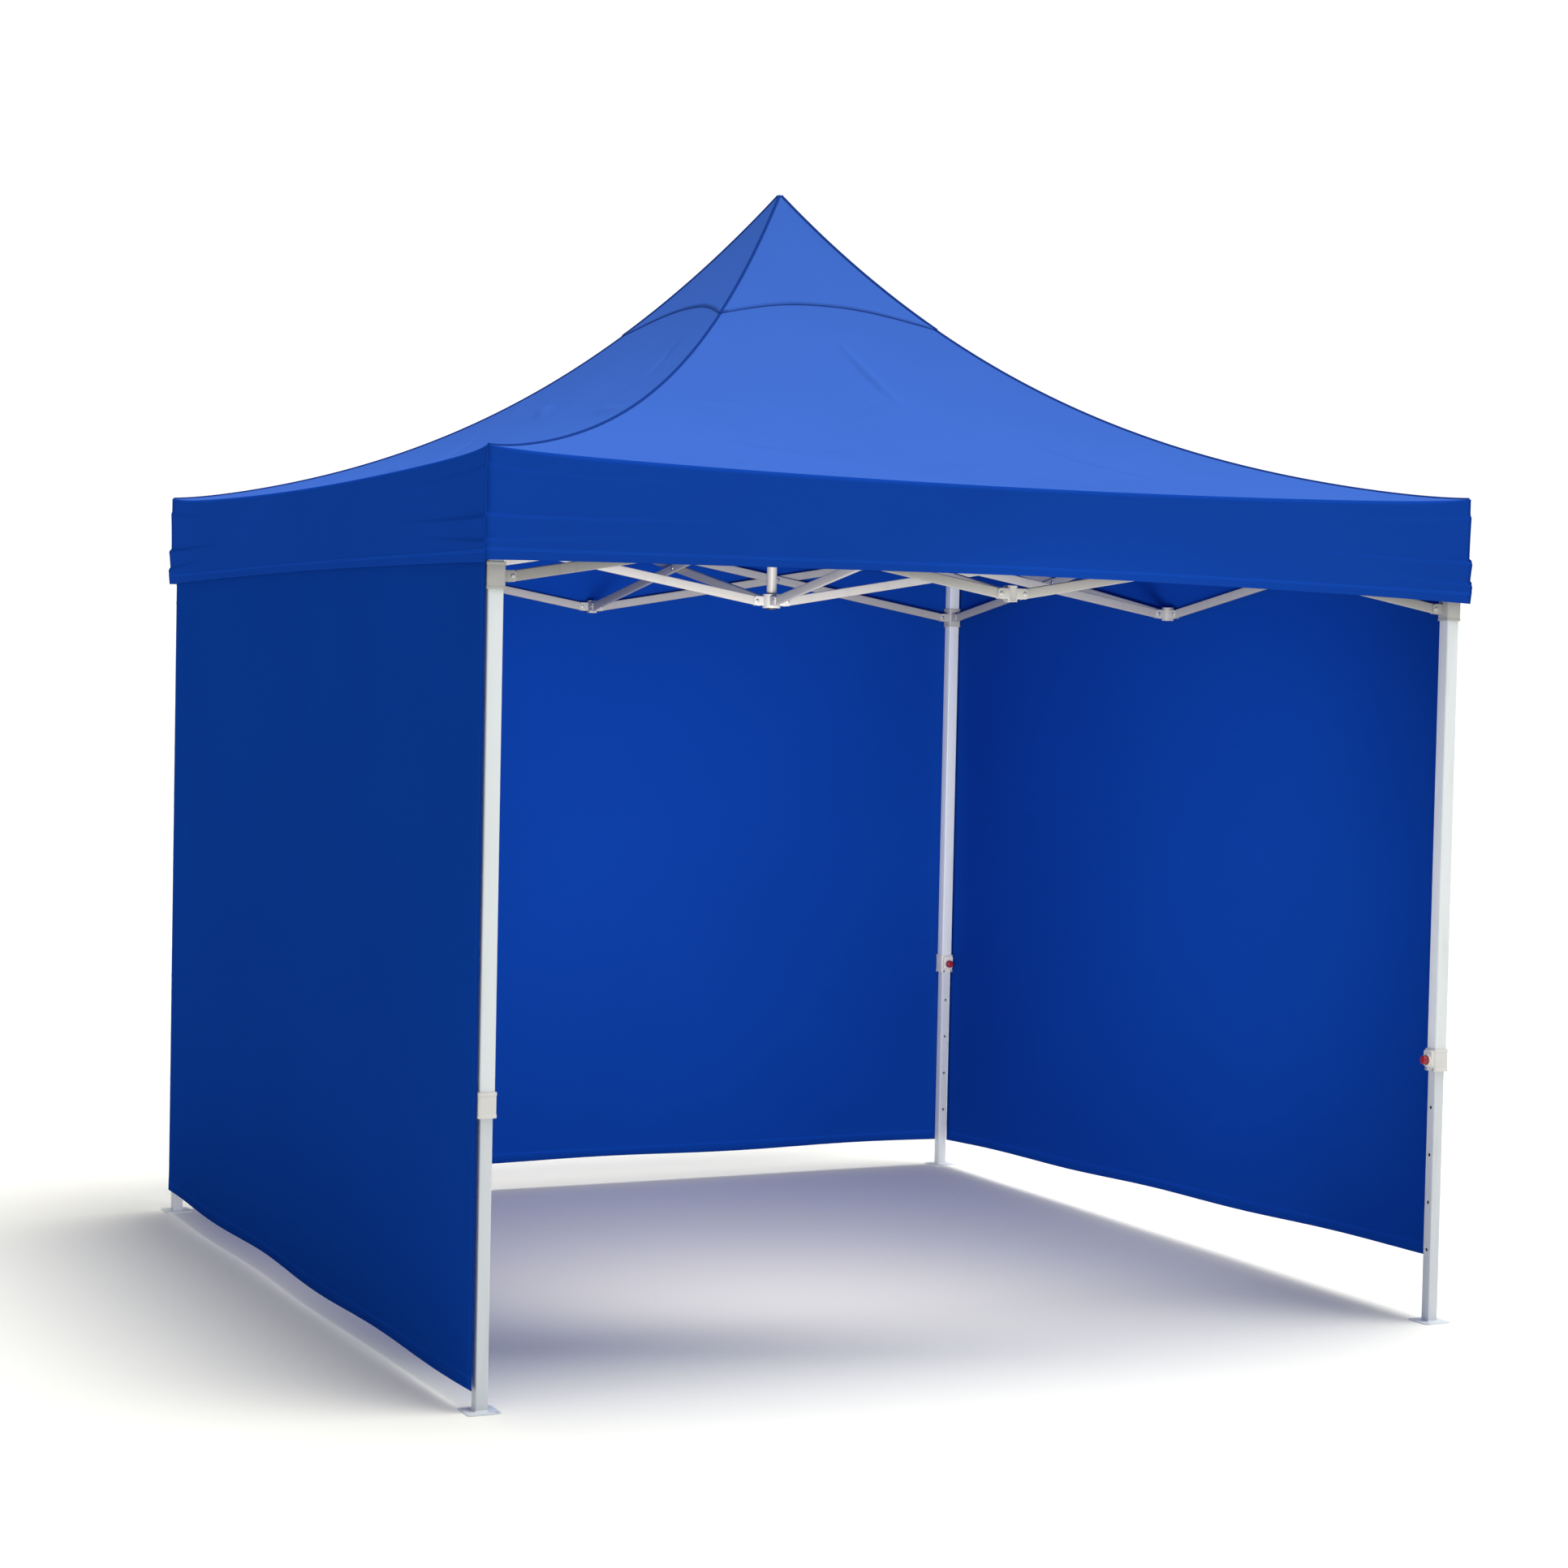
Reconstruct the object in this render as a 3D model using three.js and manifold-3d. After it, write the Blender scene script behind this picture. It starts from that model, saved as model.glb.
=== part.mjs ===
// Pop up canopy: a square steel frame of telescoping legs and scissor trusses, a peaked roof and three walls.
// Millimetres, +Z up, the open front faces -Y, and the origin is on the ground under the roof's peak.
import * as THREE from "three";
import { mergeVertices } from "three/addons/utils/BufferGeometryUtils.js";
import Module from "manifold-3d";

const wasm = await Module();
wasm.setup();

// Overall sizes
const LEG_HALF = 1480; // centre of the part to a leg's centre line, along X and along Y
const EAVE_TOP = 2400; // top of the roof cloth at its edge
const ROOF_RISE = 960; // from the eave to the peak
const TRUSS_RISE = 240; // from the lower pivots to the upper ones
const COLLAR_BOTTOM = 740; // lower end of an outer leg, where its collar is
const VALANCE_DROP = 280; // how far the valance hangs below the eave
const WALL_BOTTOM = 80; // a wall's hem above the ground

// Clearances
const RUN = 0.5; // between a bar and the cheeks of its fork
const SLIDE = 0.8; // between a slider, hub or button and what it moves on
const PIN_PLAY = 0.6; // between a pin's radius and its hole's
const LEG_PLAY = 2; // between the inner and the outer leg, all round
const SEAM = 0.3; // between pieces that touch in use
const LEG_SWING_GAP = 6; // between a bar's turning corner and a leg's bracket
const SWING_GAP = 2; // the same at the mid connectors and hubs
const ROOF_GAP = 26; // between the roof cloth and a leg's top
const WALL_GAP = 1.5; // between a wall and the legs' collars
const VALANCE_GAP = 6; // between the valance and a wall
const CAP_GAP = 4; // between the peak cap and the roof cloth

// Legs
const OUTER_TUBE = 40; // width of the outer leg's square tube
const OUTER_WALL = 1.5;
const INNER_WALL = 1.3;
const INNER_OVERLAP = 365; // length of inner leg held in the outer leg
const SLEEVE_WALL = 4.5; // brackets and collars round the outer tube
const BRACKET_HEIGHT = 64;
const BRACKET_BELOW_TOP = 42; // from a leg's top down to its bracket's pivots
const COLLAR_HEIGHT = 65;
const SLIDER_HEIGHT = 68;
const LEG_CAP = 3; // thickness of the leg's closed top
const FOOT_PLATE = 90;
const FOOT_THICK = 3;
const STAKE_HOLE = 5.5; // radius
const STAKE_EDGE = 12; // from a stake hole's centre to the plate's edge
const HEIGHT_HOLE = 5; // radius of the holes that set the leg's height
const HEIGHT_STEP = 140; // between those holes
const HEIGHT_HOLES = 5;

// Lock buttons
const BUTTON_RADIUS = 13;
const BUTTON_PROUD = 15; // how far a button stands out of its boss
const BUTTON_TRAVEL = 4;
const BOSS_REACH = 14; // how far the boss stands out of the collar
const BOSS_WALL = 5;

// Truss bars
const BAR_DEPTH = 28;
const BAR_THICK = 12;
const BAR_WALL = 1.1;
const BAR_SPACING = 2; // between the two bars of a cross
const BAR_END = 14; // from an end pivot to the bar's end
const PIN_RADIUS = 3;
const PIN_HEAD = 1.5; // how far a pin stands out of its fork

// Forks, mids and hubs
const CHEEK = 3; // thickness of a fork's cheek
const CHEEK_HALF = 14.5; // half the height of a fork's cheek
const CHEEK_NOSE = 10; // from the pivot to the fork's end
const FORK_ROOT = 4; // how deep a fork is set in what carries it
const MID_HALF = 15; // half the width of a mid connector's block
const MID_HEIGHT = 44;
const HUB_HEIGHT = 44;

// King post
const POST_RADIUS = 16;
const POST_WALL = 1.5;
const POST_BELOW = 24; // how far the post's foot is below the lower pivots
const CAP_RADIUS = 42;
const CAP_RIM = 5; // height of the cap's straight rim
const CAP_SPIGOT = 30;

// Cloth
const CLOTH = 2; // thickness of the roof, valance and walls
const ROOF_STRAIGHT = 0.215; // share of the roof's rise that is a straight slope
const ROOF_CURVED = 0.32; // share that grows with the square of the way up
const PEAK_HOLE = 12; // from the middle to a roof panel's upper edge
const WALL_INSET = 6; // a wall's side edge inside the legs' outer faces
const WALL_TOP_DROP = 62; // from the eave to the wall's top edge
const ROOF_STEPS = 10; // facets from the eave to the peak

// What follows from the sizes above
const LEG_TOP = EAVE_TOP - CLOTH - ROOF_GAP;
const TRUSS_TOP = LEG_TOP - BRACKET_BELOW_TOP;
const TRUSS_BOTTOM = TRUSS_TOP - TRUSS_RISE;
const INNER_TUBE = OUTER_TUBE - 2 * OUTER_WALL - 2 * LEG_PLAY;
const INNER_TOP = COLLAR_BOTTOM + INNER_OVERLAP;
const LOCK_HEIGHT = COLLAR_BOTTOM + COLLAR_HEIGHT / 2;
const SLEEVE_HALF = OUTER_TUBE / 2 + SLEEVE_WALL;
const BOSS_END = SLEEVE_HALF + BOSS_REACH;
const BAR_SWING = Math.hypot(BAR_END, BAR_DEPTH / 2); // pivot to a bar's corner
const LEG_PIVOT = SLEEVE_HALF + BAR_SWING + LEG_SWING_GAP; // leg's centre to pivots
const HUB_PIVOT = LEG_PIVOT; // the same, so that all bars have one length
const HUB_RADIUS = HUB_PIVOT - BAR_SWING - SWING_GAP;
const MID_PIVOT = MID_HALF + BAR_SWING + SWING_GAP;
const SPAN = LEG_HALF - LEG_PIVOT - MID_PIVOT; // level distance between end pivots
const BAR_LENGTH = Math.hypot(SPAN, TRUSS_RISE);
const BAR_SLOPE = Math.atan2(TRUSS_RISE, SPAN);
const BAR_OFFSET = (BAR_THICK + BAR_SPACING) / 2;
const WALL_PLANE = LEG_HALF + SLEEVE_HALF + WALL_GAP;
const EAVE_HALF = WALL_PLANE + CLOTH + VALANCE_GAP + CLOTH;
const LEG_FACE = LEG_HALF + OUTER_TUBE / 2;
const POST_TOP = roofHeight(CAP_RADIUS) - CLOTH - CAP_GAP - CAP_RIM;

const SIDES = ["right", "back", "left", "front"];
const LEGS = ["back_right", "back_left", "front_left", "front_right"];

const paint = (colour, roughness, metalness) => {
  return new THREE.MeshStandardMaterial({ color: colour, roughness, metalness });
};
const LOOKS = {
  leg: () => paint(0xd3d8de, 0.42, 0.3),
  bar: () => paint(0xc2c7cc, 0.45, 0.3),
  plastic: () => paint(0xb4b8bd, 0.6, 0),
  cap: () => paint(0x2a2c30, 0.6, 0),
  foot: () => paint(0xc9ced4, 0.45, 0.3),
  button: () => paint(0xb32438, 0.4, 0),
  roof: () => paint(0x1a4fb4, 0.85, 0),
  wall: () => paint(0x143a8f, 0.85, 0),
};

const canopy = new THREE.Group();
canopy.name = "pop_up_canopy";

// Turns a closed geometry into a solid that can be joined and cut.
function solid(geometry) {
  const bare = new THREE.BufferGeometry();
  const flat = geometry.index ? geometry.toNonIndexed() : geometry;
  bare.setAttribute("position", flat.getAttribute("position"));
  const merged = mergeVertices(bare, 1e-4);
  return new wasm.Manifold(
    new wasm.Mesh({
      numProp: 3,
      vertProperties: merged.attributes.position.array,
      triVerts: new Uint32Array(merged.index.array),
    }),
  );
}

// A block between two corners.
function block(x0, x1, y0, y1, z0, z1) {
  const geometry = new THREE.BoxGeometry(x1 - x0, y1 - y0, z1 - z0);
  geometry.translate((x0 + x1) / 2, (y0 + y1) / 2, (z0 + z1) / 2);
  return solid(geometry);
}

// A square post or hole centred on the Z axis.
function square(half, z0, z1) {
  return block(-half, half, -half, half, z0, z1);
}

// A round pin or hole along Y, through (x, z).
function pinY(x, z, radius, y0, y1, sides = 8) {
  const geometry = new THREE.CylinderGeometry(radius, radius, y1 - y0, sides);
  geometry.translate(x, (y0 + y1) / 2, z);
  return solid(geometry);
}

// A round pin or hole along Z, through (x, y).
function pinZ(x, y, radius, z0, z1, sides = 16) {
  const geometry = new THREE.CylinderGeometry(radius, radius, z1 - z0, sides);
  geometry.rotateX(Math.PI / 2);
  geometry.translate(x, y, (z0 + z1) / 2);
  return solid(geometry);
}

// Turns a solid about Z.
function turned(part, degrees) {
  return part.rotate([0, 0, degrees]);
}

// A named mesh of one solid, in the given look.
function meshOf(name, part, look) {
  const mesh = part.getMesh();
  const stride = mesh.numProp;
  const position = new Float32Array(mesh.numVert * 3);
  for (let i = 0; i < mesh.numVert; i++) {
    position.set(mesh.vertProperties.subarray(i * stride, i * stride + 3), i * 3);
  }
  const geometry = new THREE.BufferGeometry();
  geometry.setAttribute("position", new THREE.BufferAttribute(position, 3));
  geometry.setIndex(new THREE.BufferAttribute(new Uint32Array(mesh.triVerts), 1));
  geometry.computeVertexNormals();
  const made = new THREE.Mesh(geometry, LOOKS[look]());
  made.name = name;
  return made;
}

// One truss bar along X: a flat tube with pivots at 0, half way and its length.
// rivet adds the middle pin, which stands out on the far side of the other bar.
function bar(rivet) {
  const half = BAR_THICK / 2;
  const outer = block(
    -BAR_END, BAR_LENGTH + BAR_END, -half, half, -BAR_DEPTH / 2, BAR_DEPTH / 2,
  );
  const inner = block(
    -BAR_END - 1, BAR_LENGTH + BAR_END + 1,
    -half + BAR_WALL, half - BAR_WALL,
    -BAR_DEPTH / 2 + BAR_WALL, BAR_DEPTH / 2 - BAR_WALL,
  );
  const ends = [0, BAR_LENGTH];
  const holes = rivet ? ends : [0, BAR_LENGTH / 2, BAR_LENGTH];
  let made = outer.subtract(inner);
  for (const x of holes) {
    made = made.subtract(pinY(x, 0, PIN_RADIUS + PIN_PLAY, -half - 1, half + 1));
  }
  if (rivet) {
    const reach = BAR_SPACING + BAR_THICK + half + RUN;
    made = made.add(pinY(BAR_LENGTH / 2, 0, PIN_RADIUS, -reach, half + 1));
  }
  return made;
}

// A fork along +X for one bar, with its pivot at the given distance from the origin.
// offset is where the bar's middle plane is, along Y.
function fork(root, pivot, offset) {
  const gap = BAR_THICK / 2 + RUN;
  let made = null;
  for (const side of [-1, 1]) {
    const inner = offset + side * gap;
    const outer = inner + side * CHEEK;
    const cheek = block(
      root, pivot + CHEEK_NOSE, Math.min(inner, outer), Math.max(inner, outer),
      -CHEEK_HALF, CHEEK_HALF,
    );
    made = made ? made.add(cheek) : cheek;
  }
  const reach = gap + CHEEK + PIN_HEAD;
  return made.add(pinY(pivot, 0, PIN_RADIUS, offset - reach, offset + reach));
}

// A top or bottom mid connector: a block with forks to both side bars and to the spoke.
// The part's middle is along -X, and the bars of the two sides run along +Y and -Y.
function midConnector(sideOffset, spokeOffset) {
  let made = square(MID_HALF, -MID_HEIGHT / 2, MID_HEIGHT / 2);
  const root = MID_HALF - FORK_ROOT;
  made = made.add(turned(fork(root, MID_PIVOT, -sideOffset), 90));
  made = made.add(turned(fork(root, MID_PIVOT, sideOffset), -90));
  return made.add(turned(fork(root, MID_PIVOT, -spokeOffset), 180));
}

// A hub with four forks, bored for the king post.
function hub(spokeOffset) {
  const root = HUB_RADIUS - 2 * FORK_ROOT;
  let made = pinZ(0, 0, HUB_RADIUS, -HUB_HEIGHT / 2, HUB_HEIGHT / 2, 24);
  for (let k = 0; k < 4; k++) {
    made = made.add(turned(fork(root, HUB_PIVOT, spokeOffset), 90 * k));
  }
  return made.subtract(pinZ(0, 0, POST_RADIUS + SLIDE, -HUB_HEIGHT, HUB_HEIGHT));
}

// The two forks that a leg's bracket or a slider holds out to its trusses.
// The leg's neighbours are along -X and -Y, and outside is +X and +Y.
function legForks(offset) {
  const root = SLEEVE_HALF - SLEEVE_WALL / 2;
  const alongY = turned(fork(root, LEG_PIVOT, offset), -90);
  const alongX = turned(fork(root, LEG_PIVOT, -offset), 180);
  return alongY.add(alongX);
}

// Outer leg: a square tube with the top bracket and the lock collar fixed on it.
function outerLeg() {
  const half = OUTER_TUBE / 2;
  let made = square(half, COLLAR_BOTTOM, LEG_TOP);
  const collarTop = COLLAR_BOTTOM + COLLAR_HEIGHT;
  made = made.add(square(SLEEVE_HALF, COLLAR_BOTTOM, collarTop));
  const low = TRUSS_TOP - BRACKET_HEIGHT / 2;
  made = made.add(square(SLEEVE_HALF, low, low + BRACKET_HEIGHT));
  made = made.add(legForks(BAR_OFFSET).translate([0, 0, TRUSS_TOP]));
  const bossHalf = BUTTON_RADIUS + BOSS_WALL;
  const boss = block(
    -bossHalf, bossHalf, -BOSS_END, -SLEEVE_HALF + SLEEVE_WALL / 2,
    LOCK_HEIGHT - bossHalf, LOCK_HEIGHT + bossHalf,
  );
  made = made.add(boss);
  const bore = BUTTON_RADIUS + SLIDE;
  made = made.subtract(pinY(0, LOCK_HEIGHT, bore, -BOSS_END - 1, -SLEEVE_HALF, 20));
  return made.subtract(
    square(half - OUTER_WALL, COLLAR_BOTTOM - 1, LEG_TOP - LEG_CAP),
  );
}

// Inner leg: a square tube with height holes, welded to its foot plate.
function innerLeg() {
  const half = INNER_TUBE / 2;
  let made = square(half, 0, INNER_TOP);
  made = made.add(square(FOOT_PLATE / 2, 0, FOOT_THICK));
  made = made.subtract(
    square(half - INNER_WALL, FOOT_THICK, INNER_TOP + 1),
  );
  for (let step = 0; step < HEIGHT_HOLES; step++) {
    const z = LOCK_HEIGHT - step * HEIGHT_STEP;
    made = made.subtract(pinY(0, z, HEIGHT_HOLE, -half - 1, 0, 10));
  }
  const corner = FOOT_PLATE / 2 - STAKE_EDGE;
  for (const side of [-1, 1]) {
    made = made.subtract(
      pinZ(side * corner, -side * corner, STAKE_HOLE, -1, FOOT_THICK + 1, 12),
    );
  }
  return made;
}

// Slider: a sleeve that runs on the outer leg and carries the lower bars.
function slider() {
  let made = square(SLEEVE_HALF, -SLIDER_HEIGHT / 2, SLIDER_HEIGHT / 2);
  made = made.add(legForks(-BAR_OFFSET));
  return made.subtract(
    square(OUTER_TUBE / 2 + SLIDE, -SLIDER_HEIGHT, SLIDER_HEIGHT),
  );
}

// Lock button, along Y, with its outer end towards -Y.
function lockButton() {
  const proud = BOSS_END + BUTTON_PROUD;
  const inner = SLEEVE_HALF + BUTTON_TRAVEL + SEAM;
  return pinY(0, LOCK_HEIGHT, BUTTON_RADIUS, -proud, -inner, 20);
}

// Height of the roof cloth's top at a distance from the middle. What is left of
// the rise after its straight and curved shares grows with the cube.
function roofHeight(t) {
  const u = 1 - t / EAVE_HALF;
  const cubic = 1 - ROOF_STRAIGHT - ROOF_CURVED;
  return EAVE_TOP + ROOF_RISE * (ROOF_STRAIGHT * u + ROOF_CURVED * u ** 2 + cubic * u ** 3);
}

// A closed outline in X and Z, drawn along Y from -half to half.
function drawnAlongY(points, half) {
  const shape = new THREE.Shape(points.map(([x, z]) => new THREE.Vector2(x, z)));
  const geometry = new THREE.ExtrudeGeometry(shape, {
    depth: 2 * half,
    bevelEnabled: false,
  });
  geometry.rotateX(Math.PI / 2);
  geometry.translate(0, half, 0);
  return solid(geometry);
}

// A wedge that keeps what is between the two hips on the +X side.
function betweenHips(low, high) {
  const reach = EAVE_HALF + 50;
  const shape = new THREE.Shape([
    new THREE.Vector2(SEAM, 0),
    new THREE.Vector2(reach, -reach + SEAM),
    new THREE.Vector2(reach, reach - SEAM),
  ]);
  const geometry = new THREE.ExtrudeGeometry(shape, {
    depth: high - low,
    bevelEnabled: false,
  });
  geometry.translate(0, 0, low);
  return solid(geometry);
}

// One roof panel, from the eave on the +X side up to the peak.
function roofPanel() {
  const top = [];
  const under = [];
  for (let i = 0; i <= ROOF_STEPS; i++) {
    const t = PEAK_HOLE + ((EAVE_HALF - PEAK_HOLE) * i) / ROOF_STEPS;
    top.push([t, roofHeight(t)]);
    under.unshift([t, roofHeight(t) - CLOTH]);
  }
  const strip = drawnAlongY([...under, ...top], EAVE_HALF);
  return strip.intersect(betweenHips(EAVE_TOP - 100, EAVE_TOP + ROOF_RISE + 100));
}

// The valance on the +X side, hanging just below the eave.
function valance() {
  const half = EAVE_HALF - CLOTH - SEAM;
  const top = EAVE_TOP - CLOTH - SEAM;
  return block(
    EAVE_HALF - CLOTH, EAVE_HALF, -half, half, EAVE_TOP - VALANCE_DROP, top,
  );
}

// A wall on the +X side, joined to its valance by the strip it hangs from.
function wall() {
  const half = LEG_FACE - WALL_INSET;
  const top = EAVE_TOP - WALL_TOP_DROP;
  const sheet = block(WALL_PLANE, WALL_PLANE + CLOTH, -half, half, WALL_BOTTOM, top);
  const strip = block(WALL_PLANE, EAVE_HALF - 1, -half, half, top - CLOTH, top);
  return sheet.add(strip).add(valance());
}

// King post: a round tube that slides through both hubs.
function kingPost() {
  const foot = TRUSS_BOTTOM - POST_BELOW;
  const outer = pinZ(0, 0, POST_RADIUS, foot, POST_TOP, 20);
  return outer.subtract(
    pinZ(0, 0, POST_RADIUS - POST_WALL, foot - 1, POST_TOP + 1, 20),
  );
}

// Peak cap: a blunt cone that holds the cloth up, with a spigot in the king post.
function peakCap() {
  const spigot = POST_RADIUS - POST_WALL - SEAM - 0.3;
  const low = POST_TOP + SEAM;
  const foot = POST_TOP - CAP_SPIGOT;
  const points = [[0, foot], [spigot, foot], [spigot, low], [CAP_RADIUS, low]];
  for (const share of [1, 0.66, 0.33, 0.12]) {
    const x = CAP_RADIUS * share;
    points.push([x, roofHeight(x) - CLOTH - CAP_GAP]);
  }
  points.push([0, points[points.length - 1][1]]);
  const profile = points.map(([x, z]) => new THREE.Vector2(x, z));
  const geometry = new THREE.LatheGeometry(profile, 24);
  geometry.rotateX(Math.PI / 2);
  return solid(geometry);
}

// A mesh moved to a place in its group.
function at(mesh, x, y, z) {
  mesh.position.set(x, y, z);
  return mesh;
}

// A bar's mesh, with its first pivot at (x, y, z). It points along the heading, in
// quarter turns, climbs by slope in radians, and flipped puts its rivet on the other side.
function barAt(name, rivet, [x, y, z], heading, slope, flipped = false) {
  const mesh = at(meshOf(name, bar(rivet), "bar"), x, y, z);
  mesh.rotation.order = "ZYX";
  mesh.rotation.set(flipped ? Math.PI : 0, -slope, (heading * Math.PI) / 2);
  return mesh;
}

// The spoke on the +X side: one bar falls outwards from the upper hub, and one
// climbs outwards from the lower hub.
function spoke(side) {
  const fromUpper = [HUB_PIVOT, BAR_OFFSET, TRUSS_TOP];
  const fromLower = [HUB_PIVOT, -BAR_OFFSET, TRUSS_BOTTOM];
  return [
    barAt("spoke_falling_" + side, true, fromUpper, 0, -BAR_SLOPE),
    barAt("spoke_climbing_" + side, false, fromLower, 0, BAR_SLOPE),
  ];
}

// The truss of the +X side: a cross of two bars from each side of the mid connectors
// to a leg. The climbing bars are the outer ones, with their rivets pointing inwards.
function sideTruss(side) {
  const out = LEG_HALF + BAR_OFFSET;
  const inn = LEG_HALF - BAR_OFFSET;
  const bars = [];
  for (const [number, way] of [[1, 1], [2, -1]]) {
    const low = [out, way * MID_PIVOT, TRUSS_BOTTOM];
    const high = [inn, way * MID_PIVOT, TRUSS_TOP];
    const climbing = "side_climbing_" + side + "_" + number;
    const falling = "side_falling_" + side + "_" + number;
    bars.push(barAt(climbing, true, low, way, BAR_SLOPE, way > 0));
    bars.push(barAt(falling, false, high, way, -BAR_SLOPE));
  }
  const upper = midConnector(-BAR_OFFSET, -BAR_OFFSET);
  const lower = midConnector(BAR_OFFSET, BAR_OFFSET);
  bars.push(at(meshOf("top_mid_" + side, upper, "plastic"), LEG_HALF, 0, TRUSS_TOP));
  bars.push(
    at(meshOf("bottom_mid_" + side, lower, "plastic"), LEG_HALF, 0, TRUSS_BOTTOM),
  );
  return bars;
}

// The leg at +X and +Y, with what slides in it and on it.
function wholeLeg(leg) {
  const standing = (name, part, look) => {
    return at(meshOf(name + leg, part, look), LEG_HALF, LEG_HALF, 0);
  };
  const sleeve = meshOf("slider_" + leg, slider(), "plastic");
  return [
    standing("outer_leg_", outerLeg(), "leg"),
    standing("inner_leg_", innerLeg(), "foot"),
    standing("lock_button_", lockButton(), "button"),
    at(sleeve, LEG_HALF, LEG_HALF, TRUSS_BOTTOM),
  ];
}

// The cloth of the +X side. The front is open, so it has a valance and no wall.
function cloth(side) {
  const panel = meshOf("roof_panel_" + side, roofPanel(), "roof");
  if (side === "front") {
    return [panel, meshOf("valance_" + side, valance(), "roof")];
  }
  return [panel, meshOf("wall_" + side, wall(), "wall")];
}

// The frame and the cloth are four quarters, each turned a quarter turn from the last.
SIDES.forEach((side, k) => {
  const quarter = new THREE.Group();
  quarter.rotation.z = (k * Math.PI) / 2;
  quarter.add(...spoke(side), ...sideTruss(side), ...wholeLeg(LEGS[k]), ...cloth(side));
  canopy.add(quarter);
});
canopy.add(at(meshOf("upper_hub", hub(BAR_OFFSET), "plastic"), 0, 0, TRUSS_TOP));
canopy.add(at(meshOf("lower_hub", hub(-BAR_OFFSET), "plastic"), 0, 0, TRUSS_BOTTOM));
canopy.add(meshOf("king_post", kingPost(), "leg"));
canopy.add(meshOf("peak_cap", peakCap(), "cap"));

export default canopy;
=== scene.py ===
# %% [markdown]
# # A pop up canopy
# A steel frame on four legs folds like scissors, and a peaked cloth roof and
# three walls hang on it. The frame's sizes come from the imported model, which
# is loaded first and never moved. Every piece here is built around it.

# %% Load the frame
import math
import random

import bmesh
import bpy
from mathutils import Matrix, Vector


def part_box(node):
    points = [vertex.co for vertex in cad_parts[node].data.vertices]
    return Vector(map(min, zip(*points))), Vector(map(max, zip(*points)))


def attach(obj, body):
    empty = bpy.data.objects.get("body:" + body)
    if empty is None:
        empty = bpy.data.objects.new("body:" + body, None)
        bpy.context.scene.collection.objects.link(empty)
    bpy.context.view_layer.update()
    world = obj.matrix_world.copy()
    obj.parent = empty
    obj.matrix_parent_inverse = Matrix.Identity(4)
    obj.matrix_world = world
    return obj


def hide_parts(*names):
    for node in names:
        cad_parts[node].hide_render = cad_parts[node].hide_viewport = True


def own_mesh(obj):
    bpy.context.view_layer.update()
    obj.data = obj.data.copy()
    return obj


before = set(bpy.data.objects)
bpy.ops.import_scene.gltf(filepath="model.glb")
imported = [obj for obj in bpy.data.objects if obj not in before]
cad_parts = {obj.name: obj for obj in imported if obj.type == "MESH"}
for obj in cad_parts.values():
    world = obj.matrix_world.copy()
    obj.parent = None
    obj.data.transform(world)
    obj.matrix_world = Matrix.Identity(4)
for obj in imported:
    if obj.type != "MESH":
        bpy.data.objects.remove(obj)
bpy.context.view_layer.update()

# %% [markdown]
# ## The camera
# A camera is placed by where it stands and the way it looks. Yaw turns it
# about the vertical, pitch tips it, and roll leans it. Building the three
# axes by hand avoids guessing at Euler angles.

# %% The camera
CAMERA_PLACE = Vector((-4.078, -8.445, 1.855))
CAMERA_YAW = math.radians(26.09)
CAMERA_PITCH = math.radians(-2.07)
CAMERA_ROLL = math.radians(1.19)

camera_data = bpy.data.cameras.new("camera")
camera_data.lens = 68.41
camera_data.sensor_width = 36
camera = bpy.data.objects.new("camera", camera_data)
bpy.context.scene.collection.objects.link(camera)
forward = Vector((
    math.sin(CAMERA_YAW) * math.cos(CAMERA_PITCH),
    math.cos(CAMERA_YAW) * math.cos(CAMERA_PITCH),
    math.sin(CAMERA_PITCH),
))
level = Vector((math.cos(CAMERA_YAW), -math.sin(CAMERA_YAW), 0))
upward = level.cross(forward)
across = math.cos(CAMERA_ROLL) * level + math.sin(CAMERA_ROLL) * upward
above = across.cross(forward)
camera.matrix_world = Matrix.Translation(CAMERA_PLACE) @ Matrix(
    (across, above, -forward)
).transposed().to_4x4()
bpy.context.scene.camera = camera
print("camera at", tuple(round(x, 2) for x in camera.location))

# %% [markdown]
# ## Sizes that the frame gives
# The canopy is four equal quarters about the vertical axis. Each place is
# worked out for the side that faces +X or for the leg at +X and +Y, and then
# turned a quarter turn at a time. Measuring the loaded nodes keeps the pieces
# right if the frame changes.

# %% Sides, legs and sizes
SIDES = ["right", "back", "left", "front"]
LEGS = ["back_right", "back_left", "front_left", "front_right"]
WALLED = ["right", "back", "left"]
CHEEK_NOSE = 0.010
BAR_OFFSET = 0.007
BAR_DEPTH = 0.028
BAR_THICK = 0.012
BAR_END = 0.014


def middle(node):
    """The middle of a node's box."""
    low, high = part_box(node)
    return (low + high) / 2


def quarter(number):
    """A turn of so many quarters about the vertical axis."""
    return Matrix.Rotation(number * math.pi / 2, 4, "Z")


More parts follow.
